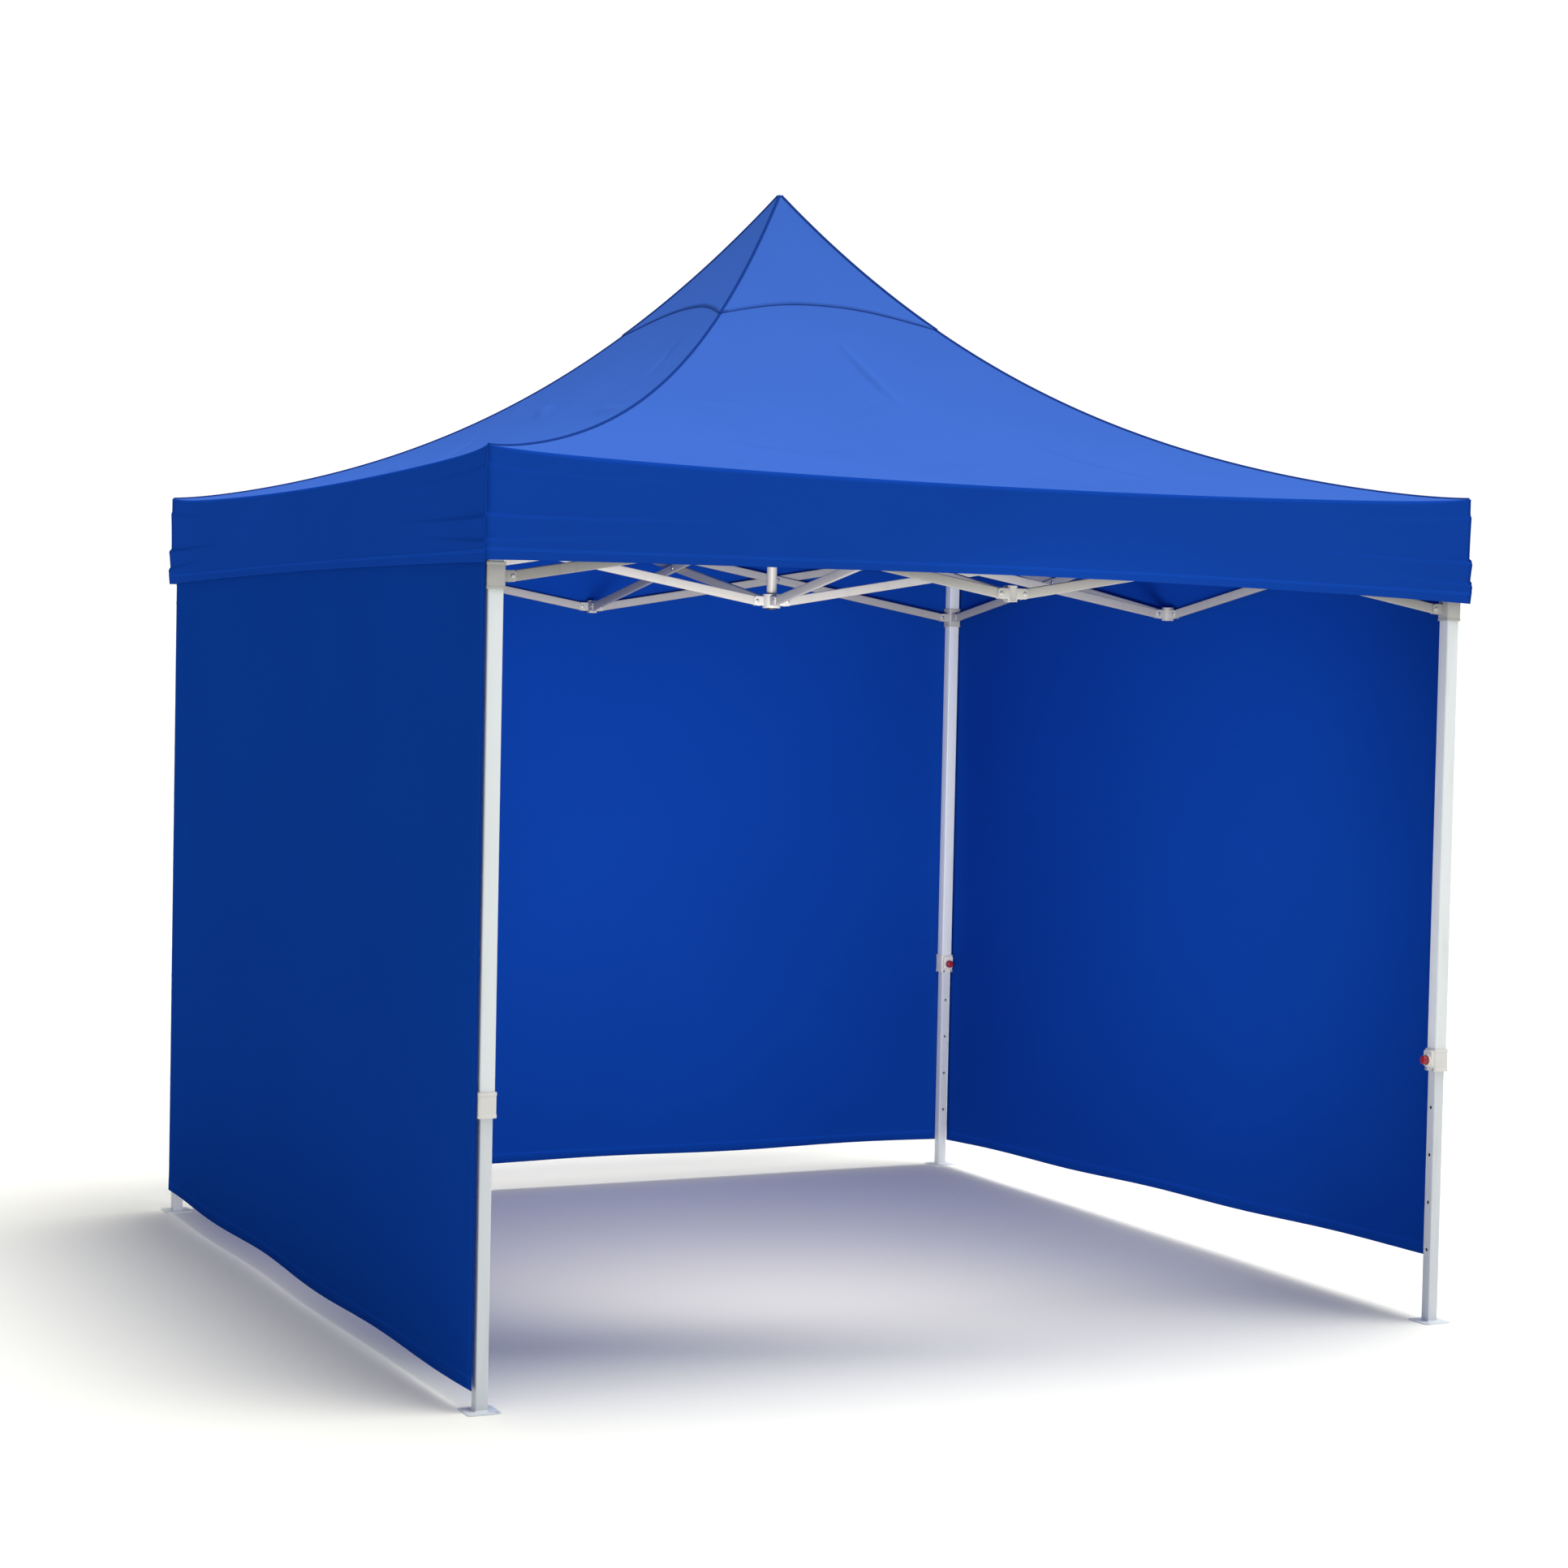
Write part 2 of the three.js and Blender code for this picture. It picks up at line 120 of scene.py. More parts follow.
LEG = middle("inner_leg_back_right").x
LEG_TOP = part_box("outer_leg_back_right")[1].z
COLLAR_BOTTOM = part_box("outer_leg_back_right")[0].z
TRUSS_TOP = middle("top_mid_right").z
TRUSS_BOTTOM = middle("bottom_mid_right").z
HUB_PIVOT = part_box("upper_hub")[1].x - CHEEK_NOSE
MID_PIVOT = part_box("top_mid_right")[1].y - CHEEK_NOSE
LEG_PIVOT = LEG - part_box("slider_back_right")[0].x - CHEEK_NOSE
SPAN = LEG - LEG_PIVOT - MID_PIVOT
BAR_LENGTH = math.hypot(SPAN, TRUSS_TOP - TRUSS_BOTTOM)
BAR_SLOPE = math.atan2(TRUSS_TOP - TRUSS_BOTTOM, SPAN)
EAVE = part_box("roof_panel_right")[1].x
EAVE_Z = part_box("roof_panel_right")[0].z + 0.002
print("leg at", round(LEG, 3), "eave at", round(EAVE, 3), round(EAVE_Z, 3))
print("bar", round(BAR_LENGTH, 4), "slope", round(math.degrees(BAR_SLOPE), 2))

# %% [markdown]
# ## Finishes
# Each finish is a node material that makes its own pattern, so it needs no
# image file. Paint, plastic and zinc read Object coordinates, which are metres
# here. Cloth reads a UV map that is also in metres, so that its weave and
# stitches follow the cloth.

# %% Node helpers
def start_material(name, colour, roughness, metallic=0.0):
    """A material with one Principled shader, its tree and the shader."""
    material = bpy.data.materials.new(name)
    material.use_nodes = True
    material.diffuse_color = (*colour, 1)
    tree = material.node_tree
    shader = tree.nodes["Principled BSDF"]
    shader.inputs["Base Color"].default_value = (*colour, 1)
    shader.inputs["Roughness"].default_value = roughness
    shader.inputs["Metallic"].default_value = metallic
    return material, tree, shader


def math_node(tree, operation, first, second=0.0, third=0.0):
    """A Math node on sockets or numbers."""
    node = tree.nodes.new("ShaderNodeMath")
    node.operation = operation
    for slot, value in zip(node.inputs, (first, second, third)):
        if isinstance(value, (int, float)):
            slot.default_value = value
        else:
            tree.links.new(value, slot)
    return node.outputs[0]


def noise(tree, place, scale, detail=3.0, stretch=None):
    """Noise on a coordinate, from 0 to 1, stretched along an axis if asked."""
    if stretch:
        mapping = tree.nodes.new("ShaderNodeMapping")
        mapping.inputs["Scale"].default_value = stretch
        tree.links.new(place, mapping.inputs["Vector"])
        place = mapping.outputs["Vector"]
    node = tree.nodes.new("ShaderNodeTexNoise")
    node.inputs["Scale"].default_value = scale
    node.inputs["Detail"].default_value = detail
    tree.links.new(place, node.inputs["Vector"])
    return node.outputs["Fac"]


def blend_colours(tree, share, first, second):
    """A colour between two colours."""
    node = tree.nodes.new("ShaderNodeMix")
    node.data_type = "RGBA"
    for slot, value in ((node.inputs[6], first), (node.inputs[7], second)):
        if isinstance(value, tuple):
            slot.default_value = (*value, 1)
        else:
            tree.links.new(value, slot)
    tree.links.new(share, node.inputs[0])
    return node.outputs[2]


def spread(tree, value, low, high, out_low=0.0, out_high=1.0):
    """Maps a value from one range to another, and clamps it."""
    node = tree.nodes.new("ShaderNodeMapRange")
    for name, number in (
        ("From Min", low), ("From Max", high), ("To Min", out_low), ("To Max", out_high),
    ):
        node.inputs[name].default_value = number
    tree.links.new(value, node.inputs["Value"])
    return node.outputs["Result"]


def add_bump(tree, shader, height, strength, distance):
    """A bump on the shader's normal."""
    node = tree.nodes.new("ShaderNodeBump")
    node.inputs["Strength"].default_value = strength
    node.inputs["Distance"].default_value = distance
    tree.links.new(height, node.inputs["Height"])
    tree.links.new(node.outputs["Normal"], shader.inputs["Normal"])


def set_look(tree, shader, tone, roughness):
    """Connects a colour and a roughness to the shader."""
    tree.links.new(tone, shader.inputs["Base Color"])
    tree.links.new(roughness, shader.inputs["Roughness"])


def shaded(colour, share):
    """The same colour, darker or lighter."""
    return tuple(min(1.0, x * share) for x in colour)


# %% [markdown]
# ### Powder coat, plastic and zinc
# The tubes are steel under baked white powder, which has a fine orange peel
# and picks up soft scuffs along its length as the parts slide. The connectors
# are moulded nylon with a spark-eroded grain. Rivets and bolts are zinc
# plated. A bump node gives the grain, because it is far too fine to model.

# %% Hard finishes
def powder_coat(name, colour, roughness=0.42):
    material, tree, shader = start_material(name, colour, roughness)
    place = tree.nodes.new("ShaderNodeTexCoord").outputs["Object"]
    scuff = spread(tree, noise(tree, place, 28, 6, (1, 1, 0.12)), 0.55, 0.75)
    cloudy = noise(tree, place, 5)
    faint = math_node(tree, "MULTIPLY", scuff, 0.45)
    tone = blend_colours(tree, cloudy, shaded(colour, 0.96), shaded(colour, 1.03))
    tone = blend_colours(tree, faint, tone, shaded(colour, 0.78))
    set_look(tree, shader, tone, spread(tree, scuff, 0, 1, roughness, roughness + 0.2))
    add_bump(tree, shader, noise(tree, place, 420, 2), 0.12, 0.0004)
    return material


def mottled(name, colour, roughness, metallic, scale, tones, shine, grain):
    """A tone and a roughness that follow one noise, under a fine grain."""
    material, tree, shader = start_material(name, colour, roughness, metallic)
    place = tree.nodes.new("ShaderNodeTexCoord").outputs["Object"]
    mottle = noise(tree, place, scale, 4)
    tone = blend_colours(tree, mottle, *(shaded(colour, share) for share in tones))
    set_look(tree, shader, tone, spread(tree, mottle, 0.3, 0.7, *shine))
    fineness, strength, depth = grain
    add_bump(tree, shader, noise(tree, place, fineness, 2), strength, depth)
    return material


def moulded(name, colour, roughness=0.5, grain=0.25):
    shine = roughness - 0.06, roughness + 0.08
    return mottled(name, colour, roughness, 0.0, 22, (0.9, 1.07), shine, (1500, grain, 0.0003))


def zinc_plate(name, colour):
    return mottled(name, colour, 0.35, 0.9, 260, (0.82, 1.1), (0.25, 0.48), (700, 0.1, 0.0002))


leg_enamel = powder_coat("leg_enamel", (0.78, 0.83, 0.87))
inner_enamel = powder_coat("inner_leg_enamel", (0.66, 0.70, 0.75), 0.36)
bar_enamel = powder_coat("bar_enamel", (0.37, 0.365, 0.36), 0.45)
grey_nylon = moulded("grey_nylon", (0.46, 0.46, 0.455))
white_nylon = moulded("white_nylon", (0.74, 0.73, 0.72), 0.45)
black_nylon = moulded("black_nylon", (0.022, 0.024, 0.028), 0.5)
red_nylon = moulded("red_nylon", (0.33, 0.014, 0.03), 0.34, 0.12)
zinc = zinc_plate("zinc_plate", (0.62, 0.62, 0.63))

# %% [markdown]
# ### Coated polyester
# The roof and walls are polyester with a thin waterproof coat. Threads go over
# and under each other, which is the product of two sine waves a thread wide.
# Its colour drifts a little from dye and handling, and hems show a row of
# stitches: a thin stripe in one direction, cut into dashes in the other.

# %% Cloth finish
THREAD = 0.0011
STITCH = 0.0042


def polyester(name, colour, hem_rows=(), half_width=0.0, side_rows=()):
    """Woven cloth. Rows are stitches' distances from the hem and from the side edges."""
    material, tree, shader = start_material(name, colour, 0.72)
    shader.inputs["Specular IOR Level"].default_value = 0.0
    uv = tree.nodes.new("ShaderNodeUVMap")
    uv.uv_map = "cloth"
    flat = uv.outputs["UV"]
    parts = tree.nodes.new("ShaderNodeSeparateXYZ")
    tree.links.new(flat, parts.inputs["Vector"])
    along, up = parts.outputs["X"], parts.outputs["Y"]

    def calc(operation, *values):
        return math_node(tree, operation, *values)

    def stitches(place, row, other):
        """A thin stripe at a row, cut into dashes in the other direction."""
        dash = calc("LESS_THAN", calc("PINGPONG", other, STITCH / 2), STITCH * 0.34)
        off = calc("ABSOLUTE", calc("SUBTRACT", place, row))
        return calc("MULTIPLY", spread(tree, off, 0.0004, 0.0009, 1, 0), dash)

    warp, weft = (calc("SINE", calc("MULTIPLY", way, math.pi / THREAD)) for way in (along, up))
    weave = calc("MULTIPLY_ADD", calc("MULTIPLY", warp, weft), 0.5, 0.5)
    drift = noise(tree, flat, 1.6, 3)
    slub = noise(tree, flat, 45, 4, (1, 6, 1))
    tone = blend_colours(tree, drift, shaded(colour, 0.93), shaded(colour, 1.07))
    fleck = calc("MULTIPLY", calc("MULTIPLY", slub, weave), 0.22)
    tone = blend_colours(tree, fleck, tone, shaded(colour, 0.62))
    height = calc("MULTIPLY_ADD", slub, 0.6, weave)
    from_side = calc("SUBTRACT", half_width, calc("ABSOLUTE", along))
    rows = [stitches(up, row, along) for row in hem_rows]
    rows += [stitches(from_side, row, up) for row in side_rows]
    for row in rows:
        tone = blend_colours(tree, row, tone, shaded(colour, 1.7))
        height = calc("MULTIPLY_ADD", row, 2.0, height)
    set_look(tree, shader, tone, spread(tree, slub, 0.3, 0.7, 0.64, 0.8))
    add_bump(tree, shader, height, 0.3, 0.0003)
    return material


# The roof, valance and walls are one polyester of one blue. The roof's colour is paler, a
# painted sheen for its lit top, and the valance's and walls' colours are darker, a painted shade
# for the sides that hang out of the light.
ROOF_SHEEN_BLUE = (0.046, 0.130, 0.51)
WALL_SHADE_BLUE = (0.004, 0.046, 0.33)
VALANCE_SHADE_BLUE = (0.006, 0.054, 0.375)
WALL_HALF = 1.475
roof_cloth = polyester("roof_polyester", ROOF_SHEEN_BLUE)
valance_cloth = polyester("valance_polyester", VALANCE_SHADE_BLUE, hem_rows=(0.022, 0.026))
patch_cloth = polyester("patch_polyester", ROOF_SHEEN_BLUE)
wall_cloth = polyester(
    "wall_polyester", WALL_SHADE_BLUE, hem_rows=(0.028, 0.032), half_width=WALL_HALF,
    side_rows=(0.018, 0.022),
)
binding = polyester("binding_tape", (0.012, 0.048, 0.26))
print("materials:", len(bpy.data.materials))

# %% [markdown]
# ## The roof
# The real roof is cloth cut in four gores, sewn along the hips and drawn up to
# a point by the post. Stretched cloth takes a hollow line from the eave to the
# peak, flat near the eave and steep near the top, and a cubic gives that line.
# Between the hips each gore sags a little, most of all along its lower edge.
# A sheet like this has to be exact, so it is a grid of points placed by a
# formula, and then Solidify gives it the cloth's thickness.

# %% The roof's shape
ROOF_STRAIGHT = 0.215
ROOF_CURVED = 0.32
EAVE_SAG = 0.027
CORNER_LIFT = 0.010
EDGE_ROUND = 0.014
CLOTH = 0.0014
NODE_PEAK_GAP = 0.012


def rise_share(distance):
    """How much of the rise is reached at a distance from the middle."""
    u = 1 - distance / EAVE
    cubic = 1 - ROOF_STRAIGHT - ROOF_CURVED
    return ROOF_STRAIGHT * u + ROOF_CURVED * u**2 + cubic * u**3


RISE = (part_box("roof_panel_right")[1].z - EAVE_Z) / rise_share(NODE_PEAK_GAP)
EAVE_ANGLE = math.atan(ROOF_STRAIGHT * RISE / EAVE)


def sag(distance, share):
    """How far the cloth hangs below the line of the hips."""
    lift = CORNER_LIFT * abs(share) ** 14 * (distance / EAVE) ** 20
    return lift - EAVE_SAG * (1 - share**2) * (distance / EAVE) ** 1.2


def roof_height(distance, share):
    return EAVE_Z + RISE * rise_share(distance) + sag(distance, share)


print("rise", round(RISE, 3), "eave slope", round(math.degrees(EAVE_ANGLE), 1))


# %% [markdown]
# ### One grid for every sheet
# Each sheet is rows and columns of points, with a UV map in metres. Putting the
# UVs in while the points are made costs nothing and keeps the weave square.

# %% A sheet from a formula
def build_mesh(name, points, faces, flat, material):
    """An object from points and faces, with a flat UV in metres for each point."""
    mesh = bpy.data.meshes.new(name)
    mesh.from_pydata(points, [], faces)
    layer = mesh.uv_layers.new(name="cloth")
    for loop in mesh.loops:
        layer.data[loop.index].uv = flat[loop.vertex_index]
    mesh.materials.append(material)
    mesh.shade_smooth()
    piece = bpy.data.objects.new(name, mesh)
    bpy.context.scene.collection.objects.link(piece)
    return piece


def make_sheet(name, columns, rows, place, material, turn, thickness=CLOTH):
    """place(across, up), each 0 to 1, gives a point and its flat UV in metres."""
    points, flat = [], []
    for j in range(rows + 1):
        for i in range(columns + 1):
            point, uv = place(i / columns, j / rows)
            points.append(turn @ Vector(point))
            flat.append(uv)
    wide = columns + 1
    faces = [
        (j * wide + i, j * wide + i + 1, (j + 1) * wide + i + 1, (j + 1) * wide + i)
        for j in range(rows)
        for i in range(columns)
    ]
    piece = build_mesh(name, points, faces, flat, material)
    wall = piece.modifiers.new("thickness", "SOLIDIFY")
    wall.thickness = thickness
    wall.offset = -1
    apply_modifiers(piece)
    return piece


def alone(piece):
    """Selects one piece and nothing else."""
    if bpy.context.object and bpy.context.object.mode != "OBJECT":
        bpy.ops.object.mode_set(mode="OBJECT")
    bpy.ops.object.select_all(action="DESELECT")
    piece.select_set(True)
    bpy.context.view_layer.objects.active = piece


def apply_modifiers(piece):
    alone(piece)
    for modifier in list(piece.modifiers):
        bpy.ops.object.modifier_apply(modifier=modifier.name)


def pick(piece, kind, test):
    """Opens a piece in edit mode with the edges or faces that pass a test selected."""
    alone(piece)
    bpy.ops.object.mode_set(mode="EDIT")
    bpy.ops.mesh.select_mode(type=kind)
    bpy.ops.mesh.select_all(action="DESELECT")
    shape = bmesh.from_edit_mesh(piece.data)
    for item in shape.edges if kind == "EDGE" else shape.faces:
        item.select_set(test(item))
    shape.select_flush_mode()
    bmesh.update_edit_mesh(piece.data)


def close(piece):
    """Leaves edit mode."""
    bpy.ops.object.mode_set(mode="OBJECT")
    return piece


def mend(piece, merge=True, outwards=True):
    """Merges points that are in one place, and turns every face outwards."""
    pick(piece, "FACE", lambda face: True)
    if merge:
        bpy.ops.mesh.remove_doubles(threshold=0.00005)
    if outwards:
        bpy.ops.mesh.normals_make_consistent(inside=False)
    return close(piece)


# %% [markdown]
# ### Creases
# Cloth that was packed in a bag keeps faint creases. Each one is a low ridge
# along a short line, fading at both ends, and a seed fixes where they fall.

# %% Creases
def make_creases(count, seed, width, low, high, tallest):
    """Creases as lines with a height and a width, in the flat of the sheet."""
    chance = random.Random(seed)
    creases = []
    for _ in range(count):
        start = Vector((chance.uniform(-width, width), chance.uniform(low, high)))
        angle = chance.uniform(0, math.pi)
        length = chance.uniform(0.18, 0.6)
        end = start + length * Vector((math.cos(angle), 0.8 * math.sin(angle)))
        tall = chance.uniform(0.4, 1.0) * tallest * chance.choice((-1, 1))
        creases.append((start, end, tall, chance.uniform(0.011, 0.020)))
    return creases


def crease_height(creases, x, y):
    """The height of all creases at a point of the flat sheet."""
    total = 0.0
    here = Vector((x, y))
    for start, end, tall, width in creases:
        line = end - start
        share = max(0.0, min(1.0, (here - start).dot(line) / line.length_squared))
        off = (here - start - share * line).length
        if off < 3 * width:
            fade = math.sin(math.pi * min(1, max(0, share * 0.9 + 0.05)))
            total += tall * fade * math.exp(-((off / width) ** 2))
    return total


# %% Roof gores
GORE_COLUMNS = 180
GORE_ROWS = 130
CREASE_SEED = 40
PEAK_END = 0.004


def edge_radius(share):
    """The eave's radius, which tightens towards the corners."""
    return EDGE_ROUND * (1 - 0.85 * abs(share) ** 16)


def gore_foot(share):
    """Where the gore ends and the curve over the eave starts."""
    return EAVE - edge_radius(share) * (1 - math.sin(EAVE_ANGLE))


def gore_place(creases):
    """Places a point of the gore on the +X side, from its foot to the peak."""
    def place(across, up):
        share = 2 * across - 1
        foot = gore_foot(share)
        distance = foot + (PEAK_END - foot) * up
        y = share * distance
        fade = (1 - share**2) * min(1, 6 * (1 - distance / foot)) * min(1, distance / 0.5)
        z = roof_height(distance, share) + fade * crease_height(creases, y, distance)
        return (distance, y, z), (y, (foot - distance) * 1.12)
    return place


gores = {}
for number, side in enumerate(SIDES):
    creases = make_creases(16, CREASE_SEED + number, 0.8, 0.42, 1.3, 0.011)
    gores[side] = make_sheet(
        "roof_gore_" + side, GORE_COLUMNS, GORE_ROWS, gore_place(creases), roof_cloth,
        quarter(number),
    )
print("gores:", len(gores), "faces in one:", len(gores["front"].data.polygons))

# %% [markdown]
# ### Hip bindings
# The gores are joined by a dark tape folded over the seam, with a cord in it
# that stands up as a bead. One narrow cross section is carried along the hip.

# %% Hip bindings
HIP_POINTS = 60
TAPE_HALF = 0.007
BEAD = 0.0028
PATCH_AT_HIP = 0.37
PATCH_AT_MIDDLE = 0.31
# The tape's cross section: how far off the hip, and how high.
HIP_PROFILE = (
    (-TAPE_HALF, 0.0002), (-TAPE_HALF, 0.0012), (-BEAD, 0.0016), (-BEAD * 0.7, BEAD),
    (0, BEAD * 1.5), (BEAD * 0.7, BEAD), (BEAD, 0.0016), (TAPE_HALF, 0.0012),
    (TAPE_HALF, 0.0002), (0, -0.001),
)


def make_hip(name, low, high, raise_by, turn):
    """A binding along the hip between +X and +Y, from one distance to another."""
    points, flat = [], []
    count = len(HIP_PROFILE)
    for j in range(HIP_POINTS + 1):
        distance = low + (high - low) * j / HIP_POINTS
        for number, (off, tall) in enumerate(HIP_PROFILE):
            x = distance + min(0.0, off)
            y = distance - max(0.0, off)
            reach = max(x, y)
            z = roof_height(reach, min(x, y) / reach) + (tall + raise_by)
            points.append(turn @ Vector((x, y, z)))
            flat.append((off, distance * 1.5 + number * 0.0001))
    faces = [
        (j * count + i, j * count + (i + 1) % count,
         (j + 1) * count + (i + 1) % count, (j + 1) * count + i)
        for j in range(HIP_POINTS)
        for i in range(count)
    ]
    faces.append(tuple(range(count))[::-1])
    faces.append(tuple(HIP_POINTS * count + i for i in range(count)))
    piece = mend(build_mesh(name, points, faces, flat, binding), merge=False)
    bpy.ops.object.shade_smooth_by_angle(angle=math.radians(50))
    return piece


hips = {}
for number, (side, leg) in enumerate(zip(SIDES, LEGS)):
    hips[side] = make_hip(
        "hip_binding_" + leg, PATCH_AT_HIP - 0.005, gore_foot(1), 0.0, quarter(number),
    )
print("hips:", len(hips))

# %% The roof rides on the frame
def hang_cloth(piece, body):
    """Rides cloth on a body, and gives it a mesh of its own."""
    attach(piece, body)
    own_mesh(piece)


for number, side in enumerate(SIDES):
    gore, hip = gores[side], hips[side]
    hang_cloth(gore, "roof_panel_" + side)
    hang_cloth(hip, "roof_panel_" + side)
    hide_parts("roof_panel_" + side)
print("roof done")

# %% [markdown]
# ### The doubled peak
# A second layer is sewn over the peak, where the post wears the cloth. Its
# lower edge curves up between the hips. It rides on the post, which pushes it
# up, so it keeps its shape when the frame folds under it.

# %% The peak patch
PATCH_GAP = 0.0022
PATCH_RINGS = 26
PATCH_COLUMNS = 26


def patch_edge(share):
    """How far out the patch reaches, from a face's middle to the hips."""
    return PATCH_AT_MIDDLE + (PATCH_AT_HIP - PATCH_AT_MIDDLE) * abs(share) ** 2.4


def patch_place(across, up):
    number, share = divmod(across * 4, 1)
    if across == 1:
        number, share = 3, 1.0
    share = 2 * share - 1
    distance = patch_edge(share) * (1 - up) + 0.003 * up
    hem = 0.0009 if up < 0.05 else 0.0
    z = roof_height(distance, share) + PATCH_GAP + hem
    point = quarter(number) @ Vector((distance, share * distance, z))
    return point, (across * 2.4, up * 0.45)


patch = make_sheet(
    "peak_patch", 4 * PATCH_COLUMNS, PATCH_RINGS, patch_place, patch_cloth, Matrix(),
)
mend(patch, outwards=False)
patch_hips = [
    make_hip("peak_hip_" + leg, 0.006, PATCH_AT_HIP, PATCH_GAP + 0.0008, quarter(number))
    for number, leg in enumerate(LEGS)
]
for piece in [patch, *patch_hips]:
    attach(piece, "king_post")
print("patch points:", len(patch.data.vertices))

# %% [markdown]
# ## The valance
# The valance is the band of cloth that hangs from the eave all round. Its top
# turns over the edge in a small curve, and that soft edge is what catches the
# light. It hangs free below, so it ripples and its hem wanders, and near the
# corners it is drawn into level folds.

# %% Valances
VALANCE_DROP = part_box("valance_front")[1].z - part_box("valance_front")[0].z
VALANCE_TALL = VALANCE_DROP - 0.012
VALANCE_COLUMNS = 150
VALANCE_ROWS = 96
CORNER_FOLDS = ((0.14, 0.003, 0.5), (0.58, 0.008, 0.5), (0.80, 0.0065, 0.36))
LEDGE = 0.022
CURL_SHARE = 0.16
HEM_SHARE = 0.12
VALANCE_SEED = 7
HEM_LIFT = {
    "front": (0.004, 0.014, -0.016), "right": (-0.004, 0.008, 0.0),
    "back": (0.0, 0.010, 0.0), "left": (0.0, 0.009, -0.002),
}


def hem_lift(side, share):
    """How far the hem is above its level line, from one end to the other."""
    first, centre, last = HEM_LIFT[side]
    end = first if share < 0 else last
    return centre + (end - centre) * abs(share) ** 1.6


def corner_folds(share, hang):
    """Level folds that are drawn out from a corner and fade along the valance."""
    total = 0.0
    for level, tall, reach in CORNER_FOLDS:
        near = max(0.0, 1 - (1 - abs(share)) / reach)
        below = hang - level * (0.86 + 0.14 * near)
        if below > 0:
            ledge = 1 - math.exp(-((below / LEDGE) ** 2))
            total += tall * near**1.3 * ledge * math.exp(-below / 0.22)
    return total


def draw_waves(seed, *ranges):
    """Five waves, each with a number drawn from every range."""
    chance = random.Random(seed)
    return [[chance.uniform(*ends) for ends in ranges] for _ in range(5)]


def valance_place(side, seed):
    waves = draw_waves(seed, (3, 11), (0, 6.3), (0.3, 1))

    def place(across, up):
        share = 2 * across - 1
        radius, foot = edge_radius(share), gore_foot(share)
        if up > 1 - CURL_SHARE:
            angle = (up - 1 + CURL_SHARE) / CURL_SHARE * (math.pi / 2 - EAVE_ANGLE)
            plane = EAVE - radius + radius * math.cos(angle)
            z = radius * math.sin(angle)
            hang = 0.0
        else:
            plane = EAVE
            hang = 1 - up / (1 - CURL_SHARE)
            z = -hang * (VALANCE_DROP - radius)
        round_middle = roof_height(foot, share) - radius * math.cos(EAVE_ANGLE)
        z += round_middle + hang * (hem_lift(side, share) - sag(foot, share))
        ripple = sum(size * math.sin(rate * share * 3 + shift) for rate, shift, size in waves)
        if hang > 1 - HEM_SHARE:
            plane += 0.0008
        x = plane + corner_folds(share, hang)
        x += 0.0016 * hang**1.5 * (ripple + 2.6) * (1 - share**8)
        y = share * (plane + corner_folds(1, hang))
        drop = EDGE_ROUND * 1.5 + VALANCE_DROP
        return (x, y, z), (y, up * drop)

    return place


valances = {}
for number, side in enumerate(SIDES):
    valances[side] = make_sheet(
        "valance_cloth_" + side, VALANCE_COLUMNS, VALANCE_ROWS,
        valance_place(side, VALANCE_SEED + number), valance_cloth, quarter(number),
    )
print("valance drop", round(VALANCE_DROP, 3))

# %% [markdown]
# ### Corner seams
# Where two valances meet, their edges are sewn and bound. A thin round bead
# follows the corner from the eave to the hem. It is a tube made along the
# same line that the valance's edge takes, so that it never leaves the cloth.

# %% Corner seams
SEAM_RADIUS = 0.0019
SEAM_WALL = 0.001
SEAM_POINTS = 64
SEAM_SIDES = 8
corner_seams = {}
for number, (side, leg) in enumerate(zip(SIDES, LEGS)):
    edge = valance_place(side, VALANCE_SEED + number)

    def seam_place(across, up):
        (x, y, z), _ = edge(1.0, up * 0.97)
        angle = 2 * math.pi * across
        x += SEAM_RADIUS * math.cos(angle)
        y += SEAM_RADIUS * math.sin(angle)
        return (x, y, z), (across * 0.014, up * 0.3)

    corner_seams[side] = mend(make_sheet(
        "corner_seam_" + leg, SEAM_SIDES, SEAM_POINTS, seam_place, valance_cloth,
        quarter(number), SEAM_WALL,
    ))
print("corner seams:", len(corner_seams))

# %% [markdown]
# ## The walls
# Each wall is one piece of cloth that hangs behind the valance, with a doubled
# hem at the foot. It is nearly flat, so the eye goes to its slow waves and to
# a hem that isn't quite level. It may only bulge outwards, away from the legs.
# Each end reaches as far over its leg as the cloth is pulled there.

# %% Walls
WALL_TOP = EAVE_Z - 0.125
WALL_TALL = WALL_TOP - 0.09
WALL_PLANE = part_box("outer_leg_back_right")[1].x + 0.0015 + 0.002
WALL_COLUMNS = 110
WALL_ROWS = 80
WALL_SEED = 20
WALL_ENDS = {"right": (1.475, 1.482), "back": (1.482, 1.482), "left": (1.482, 1.495)}
HEM_HEIGHTS = {"right": (0.188, 0.094), "back": (0.094, 0.096), "left": (0.071, 0.058)}


def wall_place(side, seed):
    first, last = HEM_HEIGHTS[side]
    waves = draw_waves(seed, (2, 9), (0, 6.3), (-0.6, 0.6), (0.3, 1))

    def place(across, up):
        share = 2 * across - 1
        y = share * WALL_ENDS[side][share > 0]
        hem = first + (last - first) * across
        z = hem + (WALL_TOP - hem) * up
        below = min(1.0, max(0.0, (2.08 - z) / 1.2))
        free = below * below * (3 - 2 * below) * (1 - abs(share) ** 6)
        ripple = sum(
            size * math.sin(rate * share + shift + lean * z) for rate, shift, lean, size in waves
        )
        x = WALL_PLANE + free * (0.006 + 0.002 * ripple) + (0.0008 if z - hem < 0.03 else 0)
        z += 0.003 * math.sin(9 * share + seed) * (1 - up) ** 8
        return (x, y, z), (share * WALL_HALF, z - hem)

    return place


